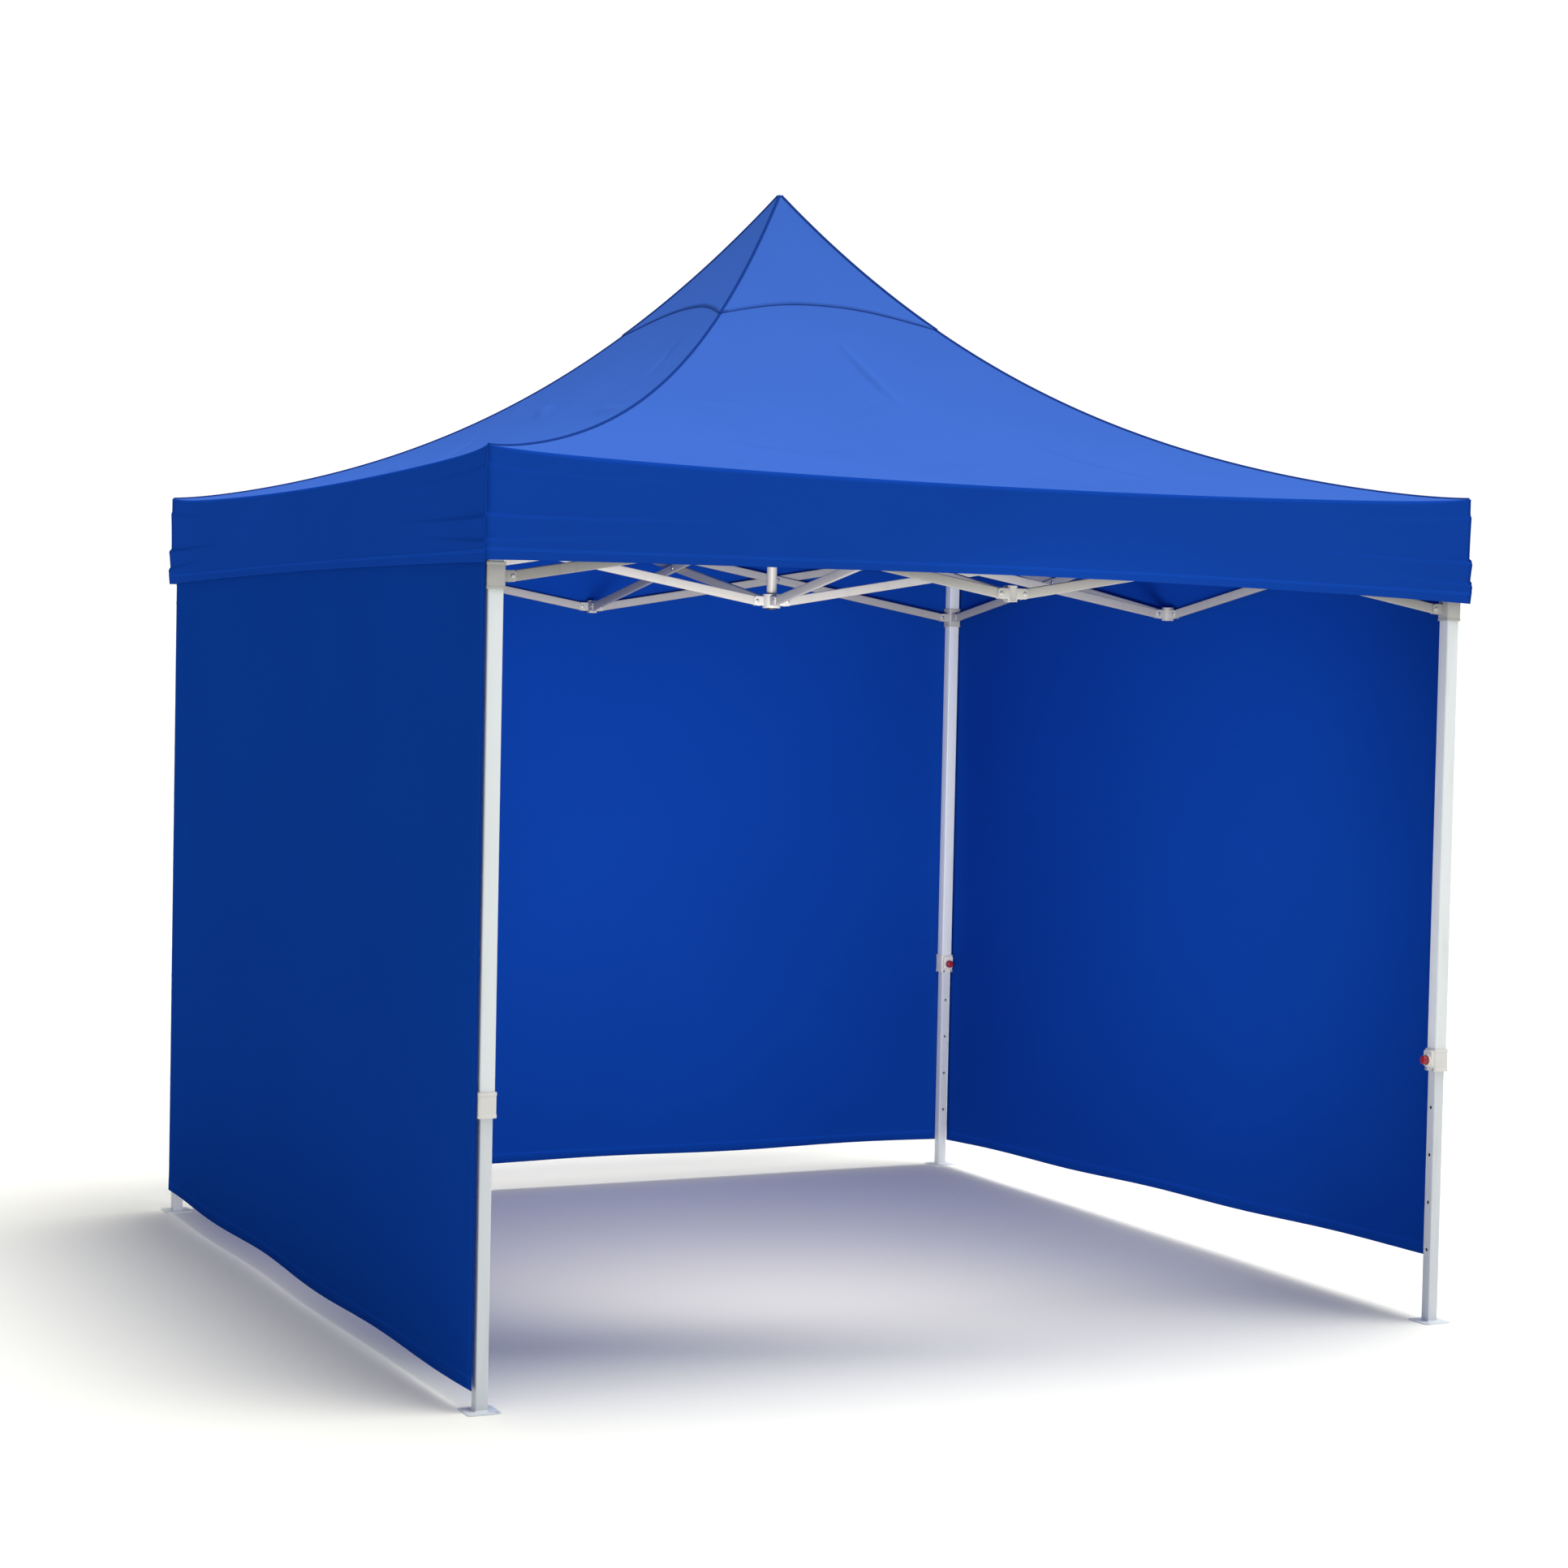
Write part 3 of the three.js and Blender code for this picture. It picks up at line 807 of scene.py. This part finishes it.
walls = {}
for number, side in enumerate(WALLED):
    walls[side] = make_sheet(
        "wall_cloth_" + side, WALL_COLUMNS, WALL_ROWS, wall_place(side, WALL_SEED + number),
        wall_cloth, quarter(number),
    )
print("walls:", len(walls))

# %% The hanging cloth rides on the frame
for number, side in enumerate(SIDES):
    body, seam = "top_mid_" + side, corner_seams[side]
    hang_cloth(seam, body)
    pieces = [(valances[side], 2 * EAVE, VALANCE_TALL, "roof_cloth", [seam])]
    if side in walls:
        pieces.append((walls[side], 2 * WALL_HALF, WALL_TALL, "wall_cloth", []))
    for piece, wide, tall, slot, sewn in pieces:
        hang_cloth(piece, body)
        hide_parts("wall_" + side if side in walls else "valance_front")
print("hanging cloth done")

# %% [markdown]
# ## Shaping hard pieces
# Every hard piece starts as a box or a cylinder of its real size. Its long
# edges are rounded in edit mode, its ends are set in or bored through, and a
# last small bevel on all sharp edges lets them catch the light.

# %% Modelling helpers
def add_box(name, low, high):
    """A box between two corners, as an object with its place in its mesh."""
    alone(camera)
    centre = [(a + b) / 2 for a, b in zip(low, high)]
    bpy.ops.mesh.primitive_cube_add(size=1, location=centre)
    piece = bpy.context.object
    piece.name = name
    piece.scale = [b - a for a, b in zip(low, high)]
    bpy.ops.object.transform_apply(location=True, rotation=True, scale=True)
    return piece


def add_square(name, half, low, high):
    """A square post about the Z axis."""
    return add_box(name, (-half, -half, low), (half, half, high))


def add_round(name, radius, low, high, axis="Z", centre=(0, 0), sides=48):
    """A cylinder along Z or Y, between two places on that axis."""
    alone(camera)
    spot = list(centre)
    spot.insert("XYZ".index(axis), (low + high) / 2)
    turn = (math.pi / 2, 0, 0) if axis == "Y" else (0, 0, 0)
    bpy.ops.mesh.primitive_cylinder_add(
        vertices=sides, radius=radius, depth=high - low, location=spot, rotation=turn,
    )
    piece = bpy.context.object
    piece.name = name
    bpy.ops.object.transform_apply(location=True, rotation=True, scale=True)
    return piece


def runs_along(edge, axis):
    """Whether an edge is parallel to an axis, 0 for X, 1 for Y and 2 for Z."""
    line = edge.verts[1].co - edge.verts[0].co
    return abs(line.normalized()[axis]) > 0.999


def bevel_edges(piece, test, radius, segments):
    """Rounds the edges that pass a test."""
    pick(piece, "EDGE", test)
    bpy.ops.mesh.bevel(offset=radius, segments=segments, affect="EDGES")
    return close(piece)


def round_long_edges(piece, axis, radius, segments=4):
    return bevel_edges(piece, lambda edge: runs_along(edge, axis), radius, segments)


def press_in(piece, test, wall, push, shrink=1.0):
    """Sets in the faces that pass a test by a wall, and moves what is inside it."""
    pick(piece, "FACE", test)
    bpy.ops.mesh.inset(thickness=wall, use_even_offset=True)
    bpy.ops.mesh.extrude_region_move(TRANSFORM_OT_translate={"value": push})
    if shrink != 1:
        bpy.ops.transform.resize(value=(shrink, shrink, shrink))
    return close(piece)


def hollow_end(piece, axis, sign, wall, depth):
    """Pushes an end face in to make a hollow."""
    push = [0, 0, 0]
    push[axis] = -sign * depth
    return press_in(piece, lambda face: face.normal[axis] * sign > 0.9, wall, push)


def taper(piece, share):
    """Draws in the top face."""
    pick(piece, "FACE", lambda face: face.normal.z > 0.9)
    bpy.ops.transform.resize(value=(share, share, 1))
    return close(piece)


def bore_through(piece, wall):
    """Sets in both end faces and joins them, so that the piece becomes a sleeve."""
    pick(piece, "FACE", lambda face: abs(face.normal.z) > 0.9)
    bpy.ops.mesh.inset(thickness=wall, use_even_offset=True)
    bpy.ops.mesh.delete(type="ONLY_FACE")
    bpy.ops.mesh.select_mode(type="EDGE")
    bpy.ops.mesh.select_all(action="DESELECT")
    bpy.ops.mesh.select_non_manifold()
    bpy.ops.mesh.bridge_edge_loops()
    bpy.ops.mesh.select_all(action="SELECT")
    bpy.ops.mesh.normals_make_consistent(inside=False)
    return close(piece)


def soften(piece, width, segments=2):
    """A small bevel on every sharp edge, then smooth shading."""
    bevel = piece.modifiers.new("soft_edges", "BEVEL")
    bevel.width = width
    bevel.segments = segments
    bevel.limit_method = "ANGLE"
    bevel.angle_limit = math.radians(35)
    apply_modifiers(piece)
    bpy.ops.object.shade_smooth_by_angle(angle=math.radians(40))
    return piece


def paint(piece, material):
    piece.data.materials.clear()
    piece.data.materials.append(material)
    return piece


def join(name, parts):
    """Joins several pieces as one, with all their materials."""
    alone(parts[0])
    for part in parts:
        part.select_set(True)
    bpy.ops.object.join()
    parts[0].name = name
    return parts[0]


def cut(piece, tool):
    """Cuts one piece with another."""
    boolean = piece.modifiers.new("cut", "BOOLEAN")
    boolean.object = tool
    boolean.solver = "EXACT"
    apply_modifiers(piece)
    bpy.data.objects.remove(tool)
    return piece


def copy_to(piece, name, matrix):
    """A copy with its own mesh, moved in its mesh."""
    made = piece.copy()
    made.data = piece.data.copy()
    made.name = name
    made.data.transform(matrix)
    bpy.context.scene.collection.objects.link(made)
    return made


def finish_piece(piece, body, node):
    """Rides a piece on a body, and hides the frame's node that it stands for."""
    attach(piece, body)
    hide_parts(node)


def drop(*pieces):
    """Removes the originals that copies were made from."""
    for piece in pieces:
        bpy.data.objects.remove(piece)


# %% [markdown]
# ## Truss bars
# A bar is flat steel tube with rounded edges, a plastic plug pressed into each
# end, and a rivet in the middle where two bars cross. All 24 bars are the same
# length, so one is modelled along X and copied to every place.

# %% One bar
RIVET_RADIUS = 0.0068
RIVET_TALL = 0.0026
BAR_WALL = 0.0013
PIN_RADIUS = 0.003


def domed_head(name, radius, tall, start, sign, centre):
    """A rivet head along Y that rises from start, its outer edge rounded."""
    top = start + sign * tall
    head = add_round(name, radius, min(start, top), max(start, top), "Y", centre, 24)
    bevel_edges(
        head, lambda edge: all(abs(vert.co.y - top) < 1e-6 for vert in edge.verts),
        tall * 0.75, 4,
    )
    alone(head)
    bpy.ops.object.shade_smooth_by_angle(angle=math.radians(50))
    return paint(head, zinc)


def make_bar(name, riveted):
    half = BAR_THICK / 2
    tube = add_box(
        name, (-BAR_END, -half, -BAR_DEPTH / 2),
        (BAR_LENGTH + BAR_END, half, BAR_DEPTH / 2),
    )
    round_long_edges(tube, 0, 0.0032)
    for sign in (-1, 1):
        hollow_end(tube, 0, sign, 0.0012, 0.004)
    paint(soften(tube, 0.0003, 1), bar_enamel)
    parts = [tube]
    out = BAR_END + 0.0008
    for low, high in ((-out, -0.004), (BAR_LENGTH + 0.004, BAR_LENGTH + out)):
        plug = add_box(
            "plug", (low, -half + BAR_WALL, -BAR_DEPTH / 2 + BAR_WALL),
            (high, half - BAR_WALL, BAR_DEPTH / 2 - BAR_WALL),
        )
        round_long_edges(plug, 0, 0.0022, 3)
        parts.append(paint(soften(plug, 0.0006), black_nylon))
    if riveted:
        far = -half - 0.002 - BAR_THICK
        spot = (BAR_LENGTH / 2, 0)
        parts.append(domed_head("rivet", RIVET_RADIUS, RIVET_TALL, half, 1, spot))
        parts.append(domed_head("rivet", RIVET_RADIUS, RIVET_TALL, far, -1, spot))
        shank = add_round("shank", PIN_RADIUS, far, -half, "Y", spot, 16)
        parts.append(paint(shank, zinc))
    return join(name, parts)


plain_bar = make_bar("plain_bar", False)
riveted_bar = make_bar("riveted_bar", True)
print("bar faces:", len(plain_bar.data.polygons), len(riveted_bar.data.polygons))


# %% Every bar in its place
def bar_matrix(number, start, heading, slope, flipped=False):
    matrix = quarter(number) @ Matrix.Translation(start) @ quarter(heading)
    matrix = matrix @ Matrix.Rotation(-slope, 4, "Y")
    return matrix @ Matrix.Rotation(math.pi, 4, "X") if flipped else matrix


bars = 0
for number, side in enumerate(SIDES):
    starts = [
        ("spoke_falling_" + side, riveted_bar, (HUB_PIVOT, BAR_OFFSET, TRUSS_TOP), 0, -1),
        ("spoke_climbing_" + side, plain_bar, (HUB_PIVOT, -BAR_OFFSET, TRUSS_BOTTOM), 0, 1),
    ]
    for ending, way in ((side + "_1", 1), (side + "_2", -1)):
        low = (LEG + BAR_OFFSET, way * MID_PIVOT, TRUSS_BOTTOM)
        high = (LEG - BAR_OFFSET, way * MID_PIVOT, TRUSS_TOP)
        starts.append(("side_climbing_" + ending, riveted_bar, low, way, 1))
        starts.append(("side_falling_" + ending, plain_bar, high, way, -1))
    for node, model, start, way, climb in starts:
        flipped = model is riveted_bar and way > 0
        matrix = bar_matrix(number, start, way, climb * BAR_SLOPE, flipped)
        finish_piece(copy_to(model, node + "_bar", matrix), node, node)
    bars += len(starts)
drop(plain_bar, riveted_bar)
print("bars:", bars)

# %% [markdown]
# ## Forks
# Bars end in forks: two cheeks with a bolt through them. The cheeks' noses are
# round about the bolt, so that a bar can swing without its corner catching.
# One fork is made along +X for a given reach, and each connector takes copies.

# %% One fork
CHEEK_IN = BAR_THICK / 2 + 0.0005
CHEEK_OUT = CHEEK_IN + 0.003
CHEEK_HALF = 0.0145
BOLT_RADIUS = 0.0058
BOLT_TALL = 0.0028


def make_fork(root, pivot, offset):
    parts = []
    tip = pivot + CHEEK_NOSE
    for sign in (-1, 1):
        low, high = sorted((offset + sign * CHEEK_IN, offset + sign * CHEEK_OUT))
        cheek = add_box("cheek", (root, low, -CHEEK_HALF), (tip, high, CHEEK_HALF))
        bevel_edges(
            cheek, lambda edge: runs_along(edge, 1) and edge.verts[0].co.x > pivot, 0.0085, 6,
        )
        parts.append(paint(soften(cheek, 0.0006), grey_nylon))
        start = offset + sign * CHEEK_OUT
        parts.append(domed_head("bolt", BOLT_RADIUS, BOLT_TALL, start, sign, (pivot, 0)))
    shank = add_round(
        "shank", PIN_RADIUS, offset - CHEEK_OUT, offset + CHEEK_OUT, "Y", (pivot, 0), 16,
    )
    parts.append(paint(shank, zinc))
    web = add_box(
        "web", (root, offset - CHEEK_OUT + 0.001, -CHEEK_HALF + 0.002),
        (pivot - 0.0215, offset + CHEEK_OUT - 0.001, CHEEK_HALF - 0.002),
    )
    parts.append(paint(soften(web, 0.0008), grey_nylon))
    return join("fork", parts)


def turned_fork(root, pivot, offset, degrees, height=0.0):
    """A fork turned about Z, at a height."""
    fork = make_fork(root, pivot, offset)
    fork.data.transform(
        Matrix.Translation((0, 0, height)) @ Matrix.Rotation(math.radians(degrees), 4, "Z")
    )
    return fork


# %% [markdown]
# ## Mid connectors and hubs
# In the middle of each side, and over the middle of the tent, a moulded block
# carries the forks. A block has a panel set into its outer face, and rims that
# are rounded, as a mould leaves them. The hubs are bored for the post to slide in.

# %% Mid connectors
MID_HALF = 0.015
MID_TALL = 0.044


def make_mid(name, offset):
    block = add_square(name, MID_HALF, -MID_TALL / 2, MID_TALL / 2)
    round_long_edges(block, 2, 0.0035, 3)
    press_in(block, lambda face: abs(face.normal.z) > 0.9, 0.003, (0, 0, 0), 0.9)
    press_in(block, lambda face: face.normal.x > 0.99, 0.003, (-0.0015, 0, 0))
    root = MID_HALF - 0.004
    return join(name, [
        paint(soften(block, 0.0009), grey_nylon),
        turned_fork(root, MID_PIVOT, -offset, 90),
        turned_fork(root, MID_PIVOT, offset, -90),
        turned_fork(root, MID_PIVOT, -offset, 180),
    ])


upper_mid = make_mid("upper_mid", -BAR_OFFSET)
lower_mid = make_mid("lower_mid", BAR_OFFSET)
for number, side in enumerate(SIDES):
    for model, node, height in (
        (upper_mid, "top_mid_" + side, TRUSS_TOP),
        (lower_mid, "bottom_mid_" + side, TRUSS_BOTTOM),
    ):
        place = quarter(number) @ Matrix.Translation((LEG, 0, height))
        finish_piece(copy_to(model, node + "_block", place), node, node)
drop(upper_mid, lower_mid)
print("mid connectors: 8")

# %% Hubs
HUB_TALL = 0.044
HUB_RADIUS = HUB_PIVOT - math.hypot(BAR_END, BAR_DEPTH / 2) - 0.002
POST_RADIUS = (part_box("king_post")[1].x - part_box("king_post")[0].x) / 2
HUB_WALL = HUB_RADIUS - POST_RADIUS - 0.0008


def make_hub(name, node, offset, height):
    barrel = add_round(name, HUB_RADIUS, -HUB_TALL / 2, HUB_TALL / 2)
    bore_through(barrel, HUB_WALL)
    parts = [paint(soften(barrel, 0.0016, 3), grey_nylon)]
    for number in range(4):
        parts.append(turned_fork(HUB_RADIUS - 0.008, HUB_PIVOT, offset, 90 * number))
    hub = join(name, parts)
    hub.data.transform(Matrix.Translation((0, 0, height)))
    finish_piece(hub, node, node)


make_hub("upper_hub_block", "upper_hub", BAR_OFFSET, TRUSS_TOP)
make_hub("lower_hub_block", "lower_hub", -BAR_OFFSET, TRUSS_BOTTOM)
print("hub radius", round(HUB_RADIUS, 4))

# %% [markdown]
# ## Legs
# Each leg is a square tube that slides in a larger one. The outer tube has a
# bracket at the top, a slider that runs below it, and a collar at the foot
# with the lock in it. Sleeves are boxes bored through, with a thicker band at
# each end where a real moulding is stiffened.

# %% Sleeves
OUTER_HALF = 0.020
SLEEVE_HALF = 0.0245
SLIDER_TALL = 0.068
BRACKET_TALL = 0.064
COLLAR_TALL = 0.065


def make_sleeve(name, low, high, bore, material, band=0.007):
    """A square sleeve with rounded corners and a band round each end."""
    parts = []
    for start, end, half in (
        (low, high, SLEEVE_HALF - 0.0008), (low, low + band, SLEEVE_HALF),
        (high - band, high, SLEEVE_HALF),
    ):
        ring = add_square(name, half, start, end)
        round_long_edges(ring, 2, 0.0055)
        bore_through(ring, half - bore)
        parts.append(paint(soften(ring, 0.0007), material))
    return join(name, parts)


def forked_sleeve(name, height, tall, bore, root, offset):
    """A sleeve about a height, with a fork towards each neighbour."""
    return join(name, [
        make_sleeve(name, height - tall / 2, height + tall / 2, bore, grey_nylon),
        turned_fork(root, LEG_PIVOT, offset, -90, height),
        turned_fork(root, LEG_PIVOT, -offset, 180, height),
    ])


def screw(place):
    """A pan head screw that stands on the sleeve's face."""
    head = domed_head("screw", 0.0042, 0.0018, 0, -1, (0, 0))
    cut(head, add_box("slot", (-0.003, -0.0208, -0.0005), (0.003, -0.0008, 0.0005)))
    head.data.transform(Matrix.Translation(place))
    return head


# %% Outer legs
tube = add_square("leg_tube", OUTER_HALF, COLLAR_BOTTOM, LEG_TOP)
round_long_edges(tube, 2, 0.004)
hollow_end(tube, 2, -1, 0.0015, LEG_TOP - COLLAR_BOTTOM - 0.003)
paint(soften(tube, 0.0004), leg_enamel)
leg_cap = add_square("leg_cap", OUTER_HALF + 0.0008, LEG_TOP - 0.0005, LEG_TOP + 0.0035)
round_long_edges(leg_cap, 2, 0.0045)
paint(soften(leg_cap, 0.0012, 3), black_nylon)
leg_tube = join("leg_tube", [tube, leg_cap])
leg_bracket = forked_sleeve(
    "leg_bracket", TRUSS_TOP, BRACKET_TALL, OUTER_HALF - 0.0002, SLEEVE_HALF - 0.002, BAR_OFFSET,
)
print("bracket faces", len(leg_bracket.data.polygons))

# %% [markdown]
# ### The lock collar
# A spring button in a round housing locks the inner leg at its height. The
# housing stands out of a rounded pad on the collar, a little taller than it is
# wide. The button's rim is well rounded and its face set in a little, so that a
# thumb finds it.

# %% Lock collar and button
BUTTON_RADIUS = 0.013
LOCK_HEIGHT = middle("lock_button_back_right").z
BOSS_END = 0.0385
BUTTON_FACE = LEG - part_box("lock_button_back_right")[0].y
BUTTON_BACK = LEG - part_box("lock_button_back_right")[1].y
BUTTON_TRAVEL = 0.004


def lock_round(name, radius, low, high):
    """A cylinder along Y at the lock's height."""
    return add_round(name, radius, low, high, "Y", (0, LOCK_HEIGHT), 40)


collar = make_sleeve(
    "lock_collar", COLLAR_BOTTOM, COLLAR_BOTTOM + COLLAR_TALL, OUTER_HALF - 0.0002,
    white_nylon, 0.009,
)
pad = add_box(
    "pad", (-0.0195, -BOSS_END + 0.006, LOCK_HEIGHT - 0.0195),
    (0.0195, -SLEEVE_HALF + 0.002, LOCK_HEIGHT + 0.029),
)
round_long_edges(pad, 1, 0.008, 5)
housing = lock_round("housing", 0.018, -BOSS_END, -SLEEVE_HALF + 0.002)
depth = -BUTTON_BACK + BUTTON_TRAVEL + 0.0005
for part in (collar, pad, housing):
    cut(part, lock_round("bore", BUTTON_RADIUS + 0.0008, -0.06, depth))
for part in (pad, housing):
    paint(soften(part, 0.0012, 3), white_nylon)
screws = [
    screw((side * 0.0148, -SLEEVE_HALF + 0.0008, COLLAR_BOTTOM + 0.0045))
    for side in (-1, 1)
]
lock_collar = join("lock_collar", [collar, pad, housing, *screws])

button = lock_round("lock_button_cap", BUTTON_RADIUS, -BUTTON_FACE, -BUTTON_BACK)
bevel_edges(
    button, lambda edge: all(vert.co.y < -BUTTON_FACE + 1e-5 for vert in edge.verts), 0.0062, 7,
)
press_in(button, lambda face: face.normal.y < -0.99, 0.0015, (0, 0.0006, 0))
paint(soften(button, 0.0003), red_nylon)
print("button from", round(BUTTON_BACK, 4), "to", round(BUTTON_FACE, 4))

# %% [markdown]
# ### The inner leg and its foot
# The inner tube has a row of holes for the lock's pin and is welded to a plate
# with two holes for stakes. The holes are cut with cylinders, which is quick
# and exact, and a small fillet stands in for the weld.

# %% Inner leg
INNER_HALF = 0.0165
INNER_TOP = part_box("inner_leg_back_right")[1].z
PLATE_HALF = (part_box("inner_leg_back_right")[1].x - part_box("inner_leg_back_right")[0].x) / 2
PLATE_THICK = 0.003
HOLE_STEP = 0.140
HOLE_COUNT = 5
STAKE_PLACE = 0.033

inner = add_square("inner_tube", INNER_HALF, 0.001, INNER_TOP)
round_long_edges(inner, 2, 0.003)
hollow_end(inner, 2, 1, 0.0013, INNER_TOP - 0.006)
holes = [
    add_round("hole", 0.005, -0.03, 0, "Y", (0, LOCK_HEIGHT - step * HOLE_STEP), 28)
    for step in range(HOLE_COUNT)
]
cut(inner, join("holes", holes))
paint(soften(inner, 0.0003, 1), inner_enamel)

plate = add_square("plate", PLATE_HALF, 0, PLATE_THICK)
round_long_edges(plate, 2, 0.010, 6)
stakes = [
    add_round("stake", 0.0055, -0.01, 0.02, "Z", (side * STAKE_PLACE, -side * STAKE_PLACE), 28)
    for side in (-1, 1)
]
cut(plate, join("stakes", stakes))
paint(soften(plate, 0.0006), inner_enamel)
weld = add_square("weld", INNER_HALF + 0.003, PLATE_THICK - 0.001, PLATE_THICK + 0.003)
round_long_edges(weld, 2, 0.005)
taper(weld, 0.86)
paint(soften(weld, 0.0008), inner_enamel)
inner_leg = join("inner_leg", [inner, plate, weld])
print("inner leg faces", len(inner_leg.data.polygons))

# %% Sliders
slider = forked_sleeve(
    "slider", TRUSS_BOTTOM, SLIDER_TALL, OUTER_HALF + 0.0007, SLEEVE_HALF - 0.0015, -BAR_OFFSET,
)
print("slider faces", len(slider.data.polygons))

# %% Every leg in its place
for number, leg in enumerate(LEGS):
    place = quarter(number) @ Matrix.Translation((LEG, LEG, 0))
    for model, prefix, body, slot in (
        (leg_tube, "leg_tube_", "outer_leg_", "leg_paint"),
        (leg_bracket, "leg_bracket_", "outer_leg_", "grey_plastic"),
        (lock_collar, "lock_collar_", "outer_leg_", "grey_plastic"),
        (inner_leg, "inner_tube_", "inner_leg_", "inner_leg_metal"),
        (slider, "slider_sleeve_", "slider_", "grey_plastic"),
        (button, "button_cap_", "lock_button_", "red_plastic"),
    ):
        finish_piece(copy_to(model, prefix + leg, place), body + leg, body + leg)
drop(leg_tube, leg_bracket, lock_collar, inner_leg, slider, button)
print("legs: 4")

# %% [markdown]
# ## The king post and its cap
# The post is a round tube that slides in both hubs and holds the peak up. Its
# cap is a blunt moulded cone, so that it doesn't wear through the cloth.

# %% King post and cap
post_low, post_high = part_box("king_post")
post = add_round("post_tube", POST_RADIUS, post_low.z, post_high.z)
hollow_end(post, 2, 1, 0.0015, 0.03)
paint(soften(post, 0.0005), bar_enamel)
plug = add_round("post_plug", POST_RADIUS + 0.0004, post_low.z - 0.003, post_low.z + 0.006)
paint(soften(plug, 0.0014, 3), black_nylon)
finish_piece(join("post_tube", [post, plug]), "king_post", "king_post")

cap_low, cap_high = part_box("peak_cap")
CAP_RADIUS = cap_high.x
rim = post_high.z + 0.0003
cap = taper(add_round("peak_cap_dome", CAP_RADIUS, rim, cap_high.z), 0.12)
cap_foot = add_round("cap_foot", CAP_RADIUS, rim - 0.004, rim + 0.0002)
spigot = add_round("cap_spigot", POST_RADIUS - 0.0021, cap_low.z, rim, sides=32)
parts = [paint(soften(part, 0.0012, 3), black_nylon) for part in (cap, cap_foot, spigot)]
finish_piece(join("peak_cap_dome", parts), "king_post", "peak_cap")
print("post from", round(post_low.z, 3), "to", round(post_high.z, 3))

# %% [markdown]
# ## Floor and light
# A plain pale floor and a pale sky give a clean background. Two broad suns from
# above and to the right make the roof the brightest face and leave the left side
# in shade, with a soft shadow under the tent. A warm softbox just outside the open
# front lifts the walls' inner faces, which the suns hardly reach.

# %% Floor, sky and lamps
alone(camera)
bpy.ops.mesh.primitive_plane_add(size=400, location=(0, 0, 0))
floor = bpy.context.object
floor.name = "floor"
paint(floor, start_material("floor_finish", (0.92, 0.91, 0.84), 0.9)[0])

world = bpy.data.worlds.new("sky")
world.use_nodes = True
sky = world.node_tree.nodes["Background"]
sky.inputs["Color"].default_value = (1, 1, 1, 1)
ray = world.node_tree.nodes.new("ShaderNodeLightPath")
strength = spread(world.node_tree, ray.outputs["Is Camera Ray"], 0, 1, 0.34, 1.05)
world.node_tree.links.new(strength, sky.inputs["Strength"])
bpy.context.scene.world = world


def add_lamp(name, kind, energy, way, place=(0, 0, 0)):
    """A lamp at a place that shines along a direction."""
    data = bpy.data.lights.new(name, kind)
    data.energy = energy
    lamp = bpy.data.objects.new(name, data)
    bpy.context.scene.collection.objects.link(lamp)
    lamp.location = place
    lamp.rotation_mode = "QUATERNION"
    lamp.rotation_quaternion = Vector(way).to_track_quat("-Z", "Y")
    return lamp


def add_sun(name, energy, spread_angle, elevation, azimuth):
    """A sun that comes from a direction: azimuth 0 is from the front, 90 from the right."""
    tilt, turn = math.radians(elevation), math.radians(azimuth)
    source = Vector((
        math.sin(turn) * math.cos(tilt), -math.cos(turn) * math.cos(tilt), math.sin(tilt),
    ))
    add_lamp(name, "SUN", energy, -source).data.angle = math.radians(spread_angle)


add_sun("key", 2.6, 34, 79, 85)
add_sun("side", 0.85, 40, 58, 45)
FILL_PLACE = Vector((-0.75, -1.8, 1.25))
FILL_TOWARDS = Vector((0.7, 1.5, 1.3))
softbox = add_lamp("inside_fill", "AREA", 46, FILL_TOWARDS - FILL_PLACE, FILL_PLACE)
softbox.data.shape = "RECTANGLE"
softbox.data.size, softbox.data.size_y = 1.6, 0.7
softbox.data.color = (1.0, 0.95, 0.86)
softbox.data.spread = math.radians(115)
softbox.visible_camera = False
bpy.context.scene.view_settings.view_transform = "Standard"
print("lamps ready")
